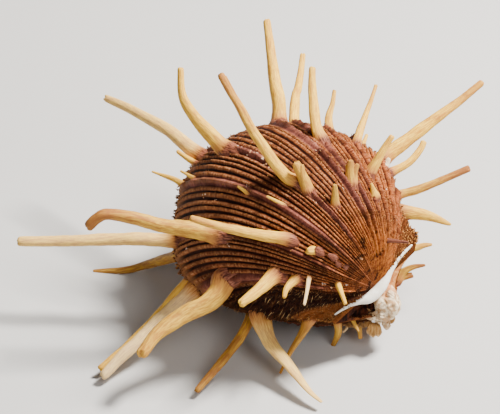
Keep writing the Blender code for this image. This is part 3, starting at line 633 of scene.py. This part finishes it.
def bristle_surface(seed):
    """Long thin bristles that stand in the dark hollow under the upper valve's front row of spines."""
    draw = np.random.default_rng(seed)
    count = BRISTLES
    fans = draw.uniform(-64, -46, count)
    places = draw.uniform(0.30, 0.97, count) ** 0.8
    point, along, normal = surface_frame(fans, places, "left")
    down = view_step(262, 20, 1.0)
    heading = unit(along * 0.5 + normal * draw.uniform(0.3, 0.9, count)[:, None] + down * 0.6
                   + 0.25 * draw.normal(0, 1, (count, 3)))
    sideways = unit(np.cross(heading, normal))
    lengths = draw.uniform(1.6, 4.6, count) * (0.55 + 0.45 * places)
    widths = draw.uniform(0.24, 0.50, count)
    attributes = {"place": places, "flank": np.full(count, 1.0), "chance": draw.uniform(0, 1, count)}
    return thorns(point - normal * 0.3, heading, sideways, lengths, widths, 0.6, 0.15, 4, attributes)


# Chalky lumps of the scar round the beak: place from the umbo in the view, half sizes, roughness
SCAR_LUMPS = (
    ((4.8, -5.8, -3.7), (4.4, 5.3, 4.2), 0.34), ((6.9, -6.2, -4.2), (2.3, 3.1, 2.6), 0.60),
    ((5.6, -2.4, -2.6), (2.4, 3.0, 2.6), 0.30), ((3.4, -9.8, -4.2), (3.5, 2.4, 3.2), 0.50),
    ((0.0, -10.2, -4.8), (3.0, 1.7, 2.4), 0.75), ((4.2, -13.0, -6.3), (1.5, 2.0, 1.8), 0.45),
    ((4.6, -0.6, -3.6), (1.7, 1.8, 2.0), 0.30), ((2.2, -5.0, -1.8), (2.6, 2.8, 2.4), 0.20),
    ((5.9, -10.2, -4.8), (1.4, 1.5, 1.8), 0.6), ((1.6, -11.9, -5.4), (1.4, 1.0, 1.4), 0.9),
)
# The porcelain edge along the hinge, from its lower end to its upper one: place in the view, width
PORCELAIN = (
    (-14.6, -9.5, 0.5), (-12.1, -7.8, 0.9), (-8.8, -5.9, 1.6), (-5.6, -4.5, 2.7), (-2.7, -3.6, 3.7),
    (-0.3, -2.1, 4.2), (1.9, 0.1, 4.1), (3.5, 2.6, 3.4), (5.0, 5.8, 2.9), (7.2, 9.0, 2.3),
    (9.9, 12.1, 1.6), (12.1, 14.2, 1.0), (13.5, 15.6, 0.5),
)
PORCELAIN_LIFT = 1.1
# Leaves that hang under the beak or stand in the hollow beside it: place from the umbo in the view,
# heading and turn to the viewer, half width, length, folds, and tone from dark to tan
LEAVES = (
    (0.2, -12.6, -5.6, 264, 4, 3.0, 5.4, 4, 1.0), (-2.0, -11.6, -7.4, 258, 5, 1.7, 3.0, 3, 0.55),
    (-4.2, -12.4, -7.6, 262, 8, 1.5, 2.2, 3, 0.40), (-6.4, -12.4, -7.4, 250, 6, 1.6, 2.6, 3, 0.45),
    (-8.8, -12.2, -7.0, 255, 8, 1.6, 2.3, 3, 0.35), (-11.2, -11.6, -6.2, 240, 6, 1.6, 2.2, 3, 0.40),
    (-1.6, -10.4, -5.6, 110, 35, 2.2, 3.2, 4, 0.10), (-4.4, -10.6, -5.4, 95, 30, 2.2, 3.6, 4, 0.12),
    (-7.2, -10.6, -4.8, 100, 32, 2.2, 3.2, 4, 0.05), (-9.8, -10.2, -3.8, 110, 30, 1.8, 2.4, 3, 0.15),
    (-5.6, -9.2, -3.6, 80, 40, 1.6, 2.2, 3, 0.30), (-3.0, -8.6, -3.6, 70, 45, 1.4, 2.0, 3, 0.45),
    (5.2, -11.0, -6.8, 330, 0, 1.5, 2.4, 3, 0.8), (-12.4, -9.6, -2.8, 112, 32, 1.6, 2.2, 3, 0.12),
    (-8.4, -9.0, -2.8, 88, 38, 1.7, 2.2, 3, 0.22), (-11.0, -10.4, -3.4, 98, 30, 2.0, 2.6, 4, 0.06),
    (-13.4, -10.6, -3.4, 120, 28, 1.5, 2.0, 3, 0.20),
)
# Leafy growth lines of the right valve: fan, place, half width in degrees, height, and lean
FRILLS = (
    (-64, 0.34, 26, 1.8, 0.9), (-48, 0.26, 30, 2.2, 0.7), (-30, 0.20, 34, 2.4, 0.6),
    (-66, 0.46, 16, 1.5, 0.9), (-6, 0.24, 30, 2.6, 0.5), (40, 0.26, 34, 2.0, 0.5), (62, 0.38, 22, 1.6, 0.7),
    (-40, 0.42, 24, 1.2, 0.4), (10, 0.38, 30, 1.6, 0.4), (72, 0.52, 14, 1.4, 0.7),
)
# Small crusts on the left valve: fan, place, and length along the growth line
CRUSTS = (
    (-1, 0.745, 2.4), (-2, 0.715, 2.0), (-1, 0.765, 1.4), (-1, 0.80, 1.6), (0, 0.85, 1.5), (18, 0.75, 1.0),
    (16, 0.70, 1.4), (15, 0.74, 0.8), (-18, 0.87, 1.4), (-33, 0.94, 1.5), (-3, 0.53, 1.2), (-41, 0.39, 1.2),
    (-37, 0.25, 1.4), (-5, 0.24, 1.4), (44, 0.64, 1.0), (13, 0.54, 0.8), (-2, 0.60, 0.8), (-12, 0.73, 0.8),
    (-33, 0.77, 1.0), (-19, 0.83, 0.8), (-29, 0.89, 0.9), (18, 0.52, 0.7), (48, 0.75, 0.9), (-42, 0.34, 1.2),
    (-43, 0.29, 0.9), (55, 0.60, 0.8), (30, 0.80, 0.7), (26, 0.62, 0.6), (-22, 0.55, 0.6), (-10, 0.90, 0.8),
)


def lump_surface(centre, sizes, rough, seed, rings=32, sides=46):
    """A rough rounded lump: a ball pushed in and out by three sizes of ripple, the middle one ridged."""
    down = np.linspace(0, math.pi, rings + 2)[1:-1, None]
    turn = turns(sides)
    ball = np.stack([np.sin(down) * np.cos(turn), np.sin(down) * np.sin(turn), np.cos(down) + 0 * turn], -1)
    ball, faces = capped(ball, (0, 0, 1), (0, 0, -1), True)

    def swell(scale, number):
        return ripple(ball[:, 0] * scale + 3 * ball[:, 2], ball[:, 1] * scale - 2 * ball[:, 2], seed + number)

    push = 1 + rough * (0.26 * swell(2, 0) + 0.22 * (0.6 - np.abs(swell(5, 1))) + 0.12 * swell(12, 2))
    points = np.array(centre) + ball * np.array(sizes) * push[:, None]
    return points @ AXES.T, faces, {"hollow": push, "ruddy": smoothstep(-4.5, -0.5, points[:, 1])}


def frill_surface(row, seed):
    """A thin leaf that stands on a growth line: its foot follows the line and its free edge is scalloped.

    The height falls off to both ends as a cosine and is notched by ripples, and the leaf waves in and
    out along its foot. Front and back are the same sheet moved apart by its thickness.
    """
    fan_at, place_at, half_width, height, lean = row
    u = np.linspace(-1, 1, 90)[None, :]
    v = np.linspace(0, 1, 10)[:, None]
    place = place_at + 0.02 * ripple(u * 4, 0, seed)
    point, along, normal = surface_frame(np.clip(fan_at + half_width * u, -88, 88), place, "right")
    scallop = 0.72 + 0.28 * np.abs(np.sin(9.5 * u + 1.5 * ripple(u * 3, 0, seed + 1)))
    tall = height * np.cos(u * math.pi / 2) ** 0.45 * scallop * (1 + 0.15 * ripple(u * 9, 0, seed + 2))
    wave = 0.45 * ripple(u * 7, 0, seed + 3) * v
    rise = v * tall
    leaf = (point[0][None] + normal[0][None] * (rise - 0.6)[..., None] * math.cos(lean)
            + along[0][None] * (rise * math.sin(lean) + wave + 0.3 * v ** 2 * height)[..., None])
    thick = (0.30 * (1 - 0.75 * v) * (1 - u ** 8))[..., None] * along[0][None]
    return thin_sheet(leaf, thick, {"tone": 0.25 + 0.3 * v, "rise": v, "along": 8 * u + seed})


def leaf_surface(row, seed):
    """A fan-shaped leaf: straight rays from its foot to a scalloped free edge, folded along the rays.

    At share v of the length the half width is (0.55 + 0.45 v) of the full one, the folds are
    cos(folds * pi * u) high and grow with v, and the tip curls forward with v ^ 2.
    """
    *foot, heading, towards, half_width, length, folds, tone = row
    ray = view_step(heading, towards, 1.0)
    facing = unit(AXES[:, 2] - ray * np.dot(ray, AXES[:, 2]))
    u = np.linspace(-1, 1, 48)[None, :]
    v = np.linspace(0, 1, 12)[:, None]
    edge = 0.93 + 0.07 * np.abs(np.cos(folds * math.pi * u / 2))
    edge = (0.52 + 0.48 * np.sqrt(1 - 0.98 * u ** 2)) * edge
    forward = v * length * edge * (1 + 0.07 * ripple(u * 9, 0, seed))
    sideways = u * half_width * (0.55 + 0.45 * v) * (1 + 0.05 * ripple(v * 5, 0, seed + 1))
    folding = 0.06 * half_width * np.cos(folds * math.pi * u) * v + 0.16 * length * v ** 2
    folding = folding - 0.22 * half_width * u ** 2 + 0.08 * length * ripple(u * 3, v * 3, seed + 2)
    leaf = (AXES @ np.array(foot) + ray * forward[..., None] + np.cross(ray, facing) * sideways[..., None]
            + facing * folding[..., None])
    thick = (0.26 * (1 - 0.65 * v) * (1 - u ** 8))[..., None] * facing
    return thin_sheet(leaf, thick, {"tone": tone, "rise": v, "along": 3 * u + seed})


def thin_sheet(leaf, thick, values):
    """A closed sheet of a grid of points: its front and back are the grid moved apart by the thickness."""
    rows, columns = leaf.shape[:2]
    ring = np.concatenate([leaf + thick, (leaf - thick)[:, ::-1]], axis=1)
    wide = 2 * columns
    near = np.arange(columns - 1)
    foot = np.stack([near, wide - 1 - near, wide - 2 - near, near + 1], -1)
    faces = [grid_faces(rows, wide), foot, foot[:, ::-1] + (rows - 1) * wide]
    full = {}
    for name, value in values.items():
        value = np.broadcast_to(value, (rows, columns))
        full[name] = np.concatenate([value, value[:, ::-1]], axis=1).ravel()
    grain = np.stack([full.pop("along"), full["rise"] * 2, 0 * full["rise"]], -1)
    return ring.reshape(-1, 3), faces, {**full, "grain": grain}


def porcelain_surface(way, seed):
    """The hinge's porcelain edge: an oval that swells and thins along a curve beside the hinge line."""
    way = np.array(way)
    hinge = AXES[0]
    along_hinge = way[:, :2] @ hinge[:2] / np.dot(hinge[:2], hinge[:2])
    path = smooth_path(np.column_stack([way[:, 0], way[:, 1], along_hinge * hinge[2] + PORCELAIN_LIFT]), 0.45)
    spot = np.linspace(0, 1, len(path))
    width = np.interp(spot, np.linspace(0, 1, len(way)), way[:, 2]) * (1 + 0.05 * ripple(spot * 14, 0, seed))
    heading = unit(np.gradient(path, axis=0))
    across = unit(np.cross(heading, (0.0, 0.0, 1.0)))
    angle = turns(28)
    half = np.maximum(width, 0.05)[:, None] / 2
    bumps = 1 + 0.03 * ripple(3 * spot[:, None] * len(path) * 0.12, 2 * np.cos(angle), seed + 1)
    ends = np.minimum(1, 0.1 + 6 * np.minimum(spot, 1 - spot))[:, None]
    deep = (0.30 + 0.50 * half) * ends * np.sin(angle) * bumps
    sheet = oval_tube(path, half * np.cos(angle) * bumps, across, deep, np.cross(across, heading))
    points, faces = capped(sheet, path[0], path[-1])
    return points @ AXES.T, faces, {"hollow": np.full(len(points), 1.15), "ruddy": np.zeros(len(points))}


def crust_surface(row, seed):
    """A flat crust on the left valve: a few ragged lumps, wider than high, strewn along a rib."""
    fan_at, place_at, size = row
    draw = np.random.default_rng(seed)
    lumps = []
    for number in range(4):
        fan = np.array(fan_at + draw.normal(0, 0.35) * size)
        place = np.array(np.clip(place_at + draw.normal(0, 0.006) * size, 0.1, 0.985))
        point, along, normal = surface_frame(fan, place, "left")
        point = point + normal * (float(rib_relief(fan, place)) - 0.10)
        ball, faces, values = lump_surface((0, 0, 0), (1, 1, 1), 1.4, seed + number, 9, 14)
        wide = size * draw.uniform(0.12, 0.30)
        long = along * wide * draw.uniform(0.8, 1.7)
        turn = np.stack([long, np.cross(normal, along) * wide, normal * 0.20])
        lumps.append((point + (ball @ AXES) @ turn, faces, values))
    return joined(lumps)


class Shader:
    """Short calls to build one node material."""

    def __init__(self, name):
        self.material = bpy.data.materials.new(name)
        self.material.use_nodes = True
        self.tree = self.material.node_tree
        self.surface = self.tree.nodes["Principled BSDF"]

    def feed(self, socket, value):
        if isinstance(value, bpy.types.NodeSocket):
            self.tree.links.new(value, socket)
        elif isinstance(value, tuple) and len(value) == 3 and socket.type == "RGBA":
            socket.default_value = (*value, 1.0)
        else:
            socket.default_value = value

    def node(self, kind, inputs=(), **settings):
        made = self.tree.nodes.new(kind)
        for key, value in settings.items():
            setattr(made, key, value)
        for key, value in dict(inputs).items():
            self.feed(made.inputs[key], value)
        return made

    def attribute(self, name, vector=False):
        made = self.node("ShaderNodeAttribute", attribute_name=name)
        return made.outputs["Vector" if vector else "Fac"]

    def calc(self, operation, first, second):
        return self.node("ShaderNodeMath", {0: first, 1: second}, operation=operation).outputs[0]

    def times(self, first, second):
        return self.calc("MULTIPLY", first, second)

    def mix(self, share, first, second, blend="MIX"):
        made = self.node("ShaderNodeMix", data_type="RGBA", blend_type=blend)
        self.feed(made.inputs[0], share)
        self.feed(made.inputs[6], first)
        self.feed(made.inputs[7], second)
        return made.outputs[2]

    def spread(self, value, low, high, to_low=0.0, to_high=1.0):
        """Eased from to_low, where the value is low, to to_high, where it is high."""
        made = self.node("ShaderNodeMapRange", {0: value, 1: low, 2: high, 3: to_low, 4: to_high},
                         interpolation_type="SMOOTHSTEP")
        return made.outputs[0]

    def place(self, source, scale):
        return self.node("ShaderNodeMapping", {0: source, 3: scale}).outputs[0]

    def noise(self, vector, scale, detail=4.0, rough=0.55):
        made = self.node("ShaderNodeTexNoise", {"Vector": vector, "Scale": scale, "Detail": detail,
                                                "Roughness": rough})
        return made.outputs[0]

    def object_place(self):
        return self.node("ShaderNodeTexCoord").outputs["Object"]

    def bump(self, height, distance, strength=1.0):
        inputs = {"Height": height, "Distance": distance, "Strength": strength}
        return self.node("ShaderNodeBump", inputs).outputs[0]

    def coat(self, share, paint, blend="MIX"):
        self.colour = self.mix(share, self.colour, paint, blend)

    def finish(self, rough, normal=None, specular=0.5):
        values = {"Base Color": self.colour, "Roughness": rough, "Specular IOR Level": specular}
        if normal is not None:
            values["Normal"] = normal
        for key, value in values.items():
            self.feed(self.surface.inputs[key], value)
        return self.material


def ribbed_shell_material(name, warmth):
    """Brown ribbed shell: near-black grooves of dark brown with painted shade, crosswise beaded tan riblets,
    purple-brown spiny ribs.

    It turns orange towards the umbo and on the side of the upper ear, lighter on the left, golden at
    the edge, and painted shade makes it nearly black in the hollow of the lower flank. The hinge area is
    tan where bare is 1 and dark where it is -1.
    """
    s = Shader(name)
    crest, place, fan = s.attribute("crest"), s.attribute("place"), s.attribute("fan")
    bare, pink, grain = s.attribute("bare"), s.attribute("pink"), s.attribute("grain", True)
    where = s.object_place()
    blotch = s.noise(where, 85.0, 4.0)
    fine = s.noise(where, 900.0, 5.0, 0.65)
    beads = s.noise(s.place(grain, (1.7, 1.9, 1.0)), 1.0, 5.0, 0.75)
    bands = s.noise(s.place(grain, (0.04, 0.16, 1.0)), 1.0, 3.0)
    tints = s.noise(s.place(grain, (0.75, 0.015, 1.0)), 1.0, 2.0)

    tan = s.mix(s.spread(tints, 0.35, 0.65), (0.165, 0.043, 0.012), (0.470, 0.168, 0.042))
    tan = s.mix(s.spread(beads, 0.38, 0.60, 0.8, 0.0), tan, (0.036, 0.010, 0.003))
    upper_side = s.times(s.spread(fan, 4.0, 44.0), 0.9)
    glow = s.calc("MAXIMUM", s.spread(place, 0.66, 0.16), upper_side)
    orange = s.mix(s.spread(beads, 0.36, 0.60), (0.150, 0.029, 0.006), (0.660, 0.205, 0.035))
    tan = s.mix(s.times(glow, 0.9), tan, orange)
    # painted shade: the grooves between the riblets are darkened to near black, over the shell's own dark
    # brown
    groove = s.mix(glow, (0.0120, 0.0022, 0.0008), (0.052, 0.0085, 0.0019))
    s.colour = s.mix(s.spread(crest, 0.26, 0.78), groove, tan)
    # pale scales on the riblets' crests, partly a painted highlight on the crest tops
    scale = s.times(s.spread(crest, 0.72, 1.0, 0.0, 0.60), s.spread(beads, 0.48, 0.66))
    s.coat(scale, (0.680, 0.420, 0.170))
    rib = s.mix(s.spread(blotch, 0.35, 0.65), (0.110, 0.030, 0.016), (0.370, 0.140, 0.082))
    rib = s.mix(s.spread(beads, 0.34, 0.56, 0.75, 0.0), rib, (0.055, 0.014, 0.008))
    far = s.spread(place, 0.22, 0.48, 0.0, 0.85)
    s.coat(s.times(s.spread(pink, 0.05, 0.55), far), rib)
    ruddy = s.times(s.spread(tints, 0.56, 0.66), s.spread(crest, 0.45, 0.95))
    s.coat(s.times(ruddy, 0.45), (0.190, 0.062, 0.032))
    s.coat(s.spread(bands, 0.42, 0.66, 0.0, 0.65), (0.034, 0.009, 0.003))
    left = s.times(s.spread(crest, 0.35, 0.80), s.spread(fan, -41.0, -31.0))
    late = s.times(s.times(s.spread(place, 0.60, 0.92, 0.0, 0.48), s.spread(fan, 0.0, -22.0)), left)
    late = s.times(late, s.spread(beads, 0.32, 0.58, 0.35, 1.0))
    s.coat(late, (0.480, 0.225, 0.074))
    edge = s.spread(place, 0.945, 1.0, 0.0, 0.75)
    s.coat(edge, (0.290, 0.135, 0.040))
    # painted shade: the hollow of the lower flank is darkened nearly to black
    flank = s.times(s.spread(fan, -45.5, -50.0), s.spread(fan, -69.0, -63.5))
    s.coat(s.times(flank, 0.9), (0.0095, 0.0014, 0.0008))
    brow = s.times(s.spread(fan, 42.0, 60.0), s.spread(fine, 0.30, 0.62, 1.0, 0.55))
    s.coat(s.times(brow, 0.50), (0.120, 0.032, 0.008))
    s.coat(1.0, (1.03, 0.93, 1.20), "MULTIPLY")
    scratch = s.noise(s.place(grain, (0.35, 3.0, 1.0)), 1.0, 4.0, 0.7)
    lower = s.mix(s.spread(scratch, 0.35, 0.62), (0.060, 0.015, 0.004), (0.400, 0.125, 0.030))
    upper = s.mix(s.spread(scratch, 0.35, 0.62), (0.034, 0.008, 0.002), (0.150, 0.044, 0.009))
    ear_brown = s.mix(s.spread(fan, -10.0, 10.0), lower, upper)
    ear = s.calc("ADD", s.spread(fan, -63.0, -69.0), s.spread(fan, 62.0, 70.0))
    s.coat(s.times(ear, 0.9), ear_brown)
    s.coat(s.spread(fine, 0.68, 0.78, 0.0, 0.35), (0.55, 0.36, 0.18))
    hearth = s.times(s.spread(place, 0.50, 0.25), s.spread(fan, -12.0, 18.0))
    flecks = s.spread(s.noise(where, 620.0, 4.0, 0.7), 0.36, 0.62)
    gold = s.mix(flecks, (0.190, 0.036, 0.008), (0.660, 0.215, 0.038))
    s.coat(s.times(hearth, 0.72), gold)
    pits = s.times(s.spread(s.noise(where, 250.0, 2.0), 0.56, 0.62), s.spread(place, 0.55, 0.30))
    s.coat(s.times(pits, 0.85), (0.030, 0.007, 0.002))
    s.coat(warmth, (0.13, 0.042, 0.013))
    shelf = s.mix(s.spread(fine, 0.40, 0.62), (0.400, 0.130, 0.036), (0.620, 0.300, 0.110))
    s.coat(s.spread(bare, 0.0, 1.0), shelf)
    stripes = s.spread(s.noise(s.place(where, (1.0, 0.3, 0.3)), 900.0, 3.0), 0.42, 0.62)
    shade = s.mix(stripes, (0.008, 0.002, 0.001), (0.060, 0.014, 0.005))
    s.coat(s.spread(bare, 0.0, -1.0), shade)
    height = s.calc("ADD", beads, s.times(fine, 0.5))
    rough = s.spread(pink, 0.0, 1.0, 0.70, 0.52)
    return s.finish(rough, s.bump(height, 0.0007, 1.0), 0.07)


def horn_material(name):
    """Spine: brown-pink root, an amber foot, then cream with rust streaks and spots, and a worn rusty tip.

    Soil from 0 to 0.95 browns the cream, and below 0 it bleaches it.
    """
    s = Shader(name)
    horn, tip, rust = s.attribute("horn"), s.attribute("tip"), s.attribute("rust")
    soil, grain = s.attribute("soil"), s.attribute("grain", True)
    where = s.object_place()
    streak = s.noise(grain, 1.3, 4.0, 0.6)
    fibre = s.noise(s.place(grain, (3.0, 3.0, 1.2)), 1.6, 4.0, 0.6)
    blotch = s.noise(where, 180.0, 3.0)
    pores = s.noise(where, 1500.0, 3.0, 0.6)
    cream = s.mix(s.spread(fibre, 0.30, 0.66), (0.640, 0.280, 0.024), (1.000, 0.650, 0.080))
    cream = s.mix(s.spread(streak, 0.50, 0.68, 0.0, 0.6), cream, (0.520, 0.215, 0.034))
    outer = s.spread(tip, 0.20, 0.95, 0.25, 1.0)
    rusty = s.times(s.times(rust, outer), s.spread(streak, 0.42, 0.62))
    s.colour = s.mix(rusty, cream, (0.420, 0.140, 0.030))
    spots = s.times(s.spread(blotch, 0.58, 0.68), s.times(rust, outer))
    s.coat(s.times(spots, 0.7), (0.250, 0.075, 0.025))
    worn = s.times(s.spread(rust, 0.2, 1.0), s.spread(tip, 0.45, 0.95, 0.0, 0.95))
    s.coat(worn, (0.430, 0.165, 0.045))
    soil = s.times(soil, s.spread(soil, 0.95, 0.99, 1.0, 0.2))
    dirty = s.times(soil, s.spread(streak, 0.25, 0.60, 0.45, 1.0))
    s.coat(s.calc("MAXIMUM", dirty, 0.0), (0.230, 0.078, 0.022))
    s.coat(s.calc("MAXIMUM", s.times(soil, -1.3), 0.0), (0.84, 0.80, 0.72))
    root = s.mix(s.spread(fibre, 0.38, 0.62), (0.060, 0.015, 0.009), (0.300, 0.100, 0.058))
    foot = s.calc("ADD", horn, s.times(s.calc("SUBTRACT", fibre, 0.5), 0.8))
    amber = s.mix(s.spread(foot, 0.05, 0.50), root, (0.500, 0.205, 0.050))
    s.colour = s.mix(s.spread(foot, 0.30, 1.05), amber, s.colour)
    height = s.calc("ADD", s.times(fibre, 0.8), s.times(pores, 0.35))
    rough = s.spread(fibre, 0.2, 0.8, 0.38, 0.55)
    return s.finish(rough, s.bump(height, 0.00030, 0.7), 0.14)


def prickle_material(name):
    """Golden brown scaly prickles, dark at the foot, and paler tips on the flank's bristles, whose near-black
    to dark brown is painted shade of their hollow.
    """
    s = Shader(name)
    rise, flank, chance = s.attribute("rise"), s.attribute("flank"), s.attribute("chance")
    place = s.attribute("place")
    gold = s.mix(chance, (0.130, 0.038, 0.010), (0.520, 0.235, 0.066))
    gold = s.mix(s.spread(place, 0.5, 0.1), gold, (0.340, 0.108, 0.026))
    # painted shade: the flank's bristles are near black to dark brown, with a few pale ones
    pale = s.mix(s.spread(chance, 0.45, 0.75), (0.010, 0.003, 0.001), (0.120, 0.042, 0.012))
    pale = s.mix(s.spread(chance, 0.90, 0.98), pale, (0.62, 0.40, 0.18))
    top = s.mix(flank, gold, pale)
    s.colour = s.mix(s.spread(rise, 0.0, 0.6), (0.045, 0.013, 0.004), top)
    grit = s.noise(s.object_place(), 2500.0, 2.0)
    return s.finish(0.65, s.bump(grit, 0.0001, 0.5), 0.12)


# Chalky growths: pale and dull tone, stain, share of the stain, and polish
CHALKS = {
    "scar_chalk": ((0.90, 0.75, 0.53), (0.46, 0.28, 0.14), (0.42, 0.22, 0.09), 0.60, 0.25),
    "hinge_porcelain": ((0.93, 0.90, 0.82), (0.86, 0.80, 0.70), (0.66, 0.52, 0.38), 0.35, 0.9),
    "crust_chalk": ((0.86, 0.80, 0.70), (0.56, 0.44, 0.32), (0.30, 0.14, 0.07), 0.4, 0.1),
}


def chalk_material(name, pale, dull, stain, share, polish):
    """Chalk or porcelain between two tones, with stains in patches, darker hollows of stain and painted
    shade, and an orange tint.
    """
    s = Shader(name)
    hollow, ruddy = s.attribute("hollow"), s.attribute("ruddy")
    where = s.object_place()
    patches = s.noise(where, 230.0, 3.0)
    grit = s.noise(where, 1400.0, 5.0, 0.7)
    cloud = s.noise(where, 420.0, 3.0)
    s.colour = s.mix(s.spread(cloud, 0.42, 0.60), dull, pale)
    s.coat(s.spread(patches, 0.52, 0.66, 0.0, share), stain)
    tint = s.times(ruddy, s.spread(cloud, 0.35, 0.60, 0.9, 0.35))
    s.coat(tint, (0.64, 0.25, 0.08))
    # darker in the hollows of the lumps: partly stain, partly painted shade
    dark = tuple(0.5 * channel for channel in stain)
    s.coat(s.spread(hollow, 0.96, 0.72, 0.0, min(1.0, 1.3 * share)), dark)
    height = s.calc("ADD", s.times(grit, 0.5), cloud)
    normal = s.bump(height, 0.0005, 0.8 - 0.7 * polish)
    return s.finish(0.75 - 0.45 * polish, normal, 0.25 + 0.25 * polish)


def frill_material(name):
    """Leafy frills from dark red-brown to tan, darker at the foot and streaked to a paler edge."""
    s = Shader(name)
    rise, grain, tone = s.attribute("rise"), s.attribute("grain", True), s.attribute("tone")
    streak = s.noise(grain, 1.6, 4.0)
    dark = s.mix(s.spread(streak, 0.35, 0.65), (0.022, 0.005, 0.002), (0.110, 0.030, 0.010))
    tan = s.mix(s.spread(streak, 0.35, 0.65), (0.480, 0.225, 0.062), (0.680, 0.400, 0.140))
    s.colour = s.mix(tone, dark, tan)
    s.coat(s.times(s.spread(rise, 0.75, 1.0), s.times(tone, 0.5)), (0.66, 0.46, 0.26))
    s.coat(s.spread(rise, 0.35, 0.0, 0.0, 0.8), (0.040, 0.013, 0.006))
    return s.finish(0.6, s.bump(streak, 0.0005, 0.8), 0.2)


def plain_material(name, colour, rough):
    s = Shader(name)
    patches = s.spread(s.noise(s.object_place(), 9.0, 2.0), 0.3, 0.7)
    s.colour = s.mix(patches, colour, tuple(channel * 0.985 for channel in colour))
    return s.finish(rough)


def build_valve(side, node):
    """Wall, spines and prickles of one valve. Each spine has its own seed."""
    wall = ribbed_shell_material(side + "_ribbed_shell", WARMTH[side])
    put_piece(side + "_valve_wall", [valve_surface(side)], wall, node)
    spines = [spine_surface(side, row, 100 + 3 * index) for index, row in enumerate(SPINES[side].values())]
    spines += [spine_surface(side, row, 400 + len(name)) for name, row in PRONGS[side].items()]
    put_piece(side + "_spines", spines, horn_material(side + "_spine_horn"), node)
    prickles = [prickle_surface(side, PRICKLE_SEED[side])]
    if side == "left":
        prickles.append(bristle_surface(43))
    put_piece(side + "_prickles", prickles, prickle_material(side + "_prickle_gold"), node)


def build_growths():
    """Scar, porcelain hinge edge and leaves of the right valve, and the crusts on the left one."""
    scar, porcelain, crust = (chalk_material(name, *row) for name, row in CHALKS.items())
    lumps = [lump_surface(*row, 200 + 11 * index) for index, row in enumerate(SCAR_LUMPS)]
    leaves = [frill_surface(row, 300 + 7 * index) for index, row in enumerate(FRILLS)]
    leaves += [leaf_surface(row, 500 + 5 * index) for index, row in enumerate(LEAVES)]
    crusts = [crust_surface(row, 600 + 3 * index) for index, row in enumerate(CRUSTS)]
    put_piece("attachment_scar", lumps, scar, "right_valve")
    put_piece("porcelain_edge", [porcelain_surface(PORCELAIN, 250)], porcelain, "right_valve")
    put_piece("beak_frills", leaves, frill_material("frill_brown"), "right_valve")
    put_piece("white_crusts", crusts, crust, "left_valve")


def aim(thing, place, target):
    """Put a lamp or camera at a place and point it at a target, as a matrix built from its directions."""
    direction = Vector(target) - Vector(place)
    thing.location = place
    thing.rotation_euler = direction.to_track_quat("-Z", "Y").to_euler()


# Soft lamps, all aimed at the middle of the shell: place in metres, width, power and colour
LAMPS = {
    "key_lamp": ((0.46, 0.16, 0.80), 0.22, 35.0, (1.0, 0.95, 0.86)),
    "fill_lamp": ((-0.45, -0.70, 0.55), 0.7, 1.4, (1.0, 0.98, 0.96)),
    "side_lamp": ((0.35, -0.55, 0.60), 0.4, 3.0, (1.0, 0.97, 0.93)),
}
LAMP_TARGET = (0, 0, 0.04)
FLOOR_REACH = 30.0
FLOOR_COLOUR, FLOOR_ROUGHNESS = (0.56, 0.56, 0.57), 0.7
SKY_COLOUR, SKY_STRENGTH = (1.0, 1.0, 1.0, 1.0), 0.10


def soft_lamp(name, place, size, power, colour):
    lamp = bpy.data.lights.new(name, "AREA")
    lamp.shape = "DISK"
    lamp.size = size
    lamp.energy = power
    lamp.color = colour
    aim(new_thing(name, lamp), place, LAMP_TARGET)


def build_studio():
    """A pale floor that reaches past the picture, three soft lamps and an even pale sky."""
    wide = FLOOR_REACH
    mesh = bpy.data.meshes.new("floor")
    mesh.from_pydata([(-wide, -wide, 0), (wide, -wide, 0), (wide, wide, 0), (-wide, wide, 0)], [],
                     [(0, 1, 2, 3)])
    floor = new_thing("floor", mesh)
    mesh.materials.append(plain_material("floor_pale", FLOOR_COLOUR, FLOOR_ROUGHNESS))
    for name, row in LAMPS.items():
        soft_lamp(name, *row)
    world = bpy.data.worlds.new("pale_room")
    world.use_nodes = True
    background = world.node_tree.nodes["Background"]
    background.inputs["Color"].default_value = SKY_COLOUR
    background.inputs["Strength"].default_value = SKY_STRENGTH
    bpy.context.scene.world = world


# The camera: millimetres per pixel at the umbo, and the umbo's pixel in the 500 by 414 picture
PIXEL_SIZE = 0.36
PICTURE_MIDDLE = (250.0, 207.0)
UMBO_PIXEL = (375.0, 288.0)
PICTURE_WIDTH = 500.0
CAMERA_DISTANCE = 2.0
SENSOR_WIDTH = 36.0


def build_camera():
    """The camera looks along the view's own direction, at the picture's middle, from far off."""
    climb = math.radians(VIEW_CLIMB)
    right = (PICTURE_MIDDLE[0] - UMBO_PIXEL[0]) * PIXEL_SIZE
    up = (UMBO_PIXEL[1] - PICTURE_MIDDLE[1]) * PIXEL_SIZE
    umbo = np.array(UMBO_PLACE)
    target = (umbo + np.array([right, up * math.sin(climb), up * math.cos(climb)])) * MM
    back = np.array([0, -math.cos(climb), math.sin(climb)])
    camera = bpy.data.cameras.new("camera")
    camera.sensor_width = SENSOR_WIDTH
    camera.lens = SENSOR_WIDTH * CAMERA_DISTANCE / (PICTURE_WIDTH * PIXEL_SIZE * MM)
    camera.clip_start, camera.clip_end = 0.05, 50.0
    holder = new_thing("camera", camera)
    aim(holder, tuple(target + back * CAMERA_DISTANCE), tuple(target))
    bpy.context.scene.camera = holder


build_valve("left", "left_valve")
build_valve("right", "right_valve")
build_growths()
build_studio()
build_camera()

bpy.context.view_layer.update()
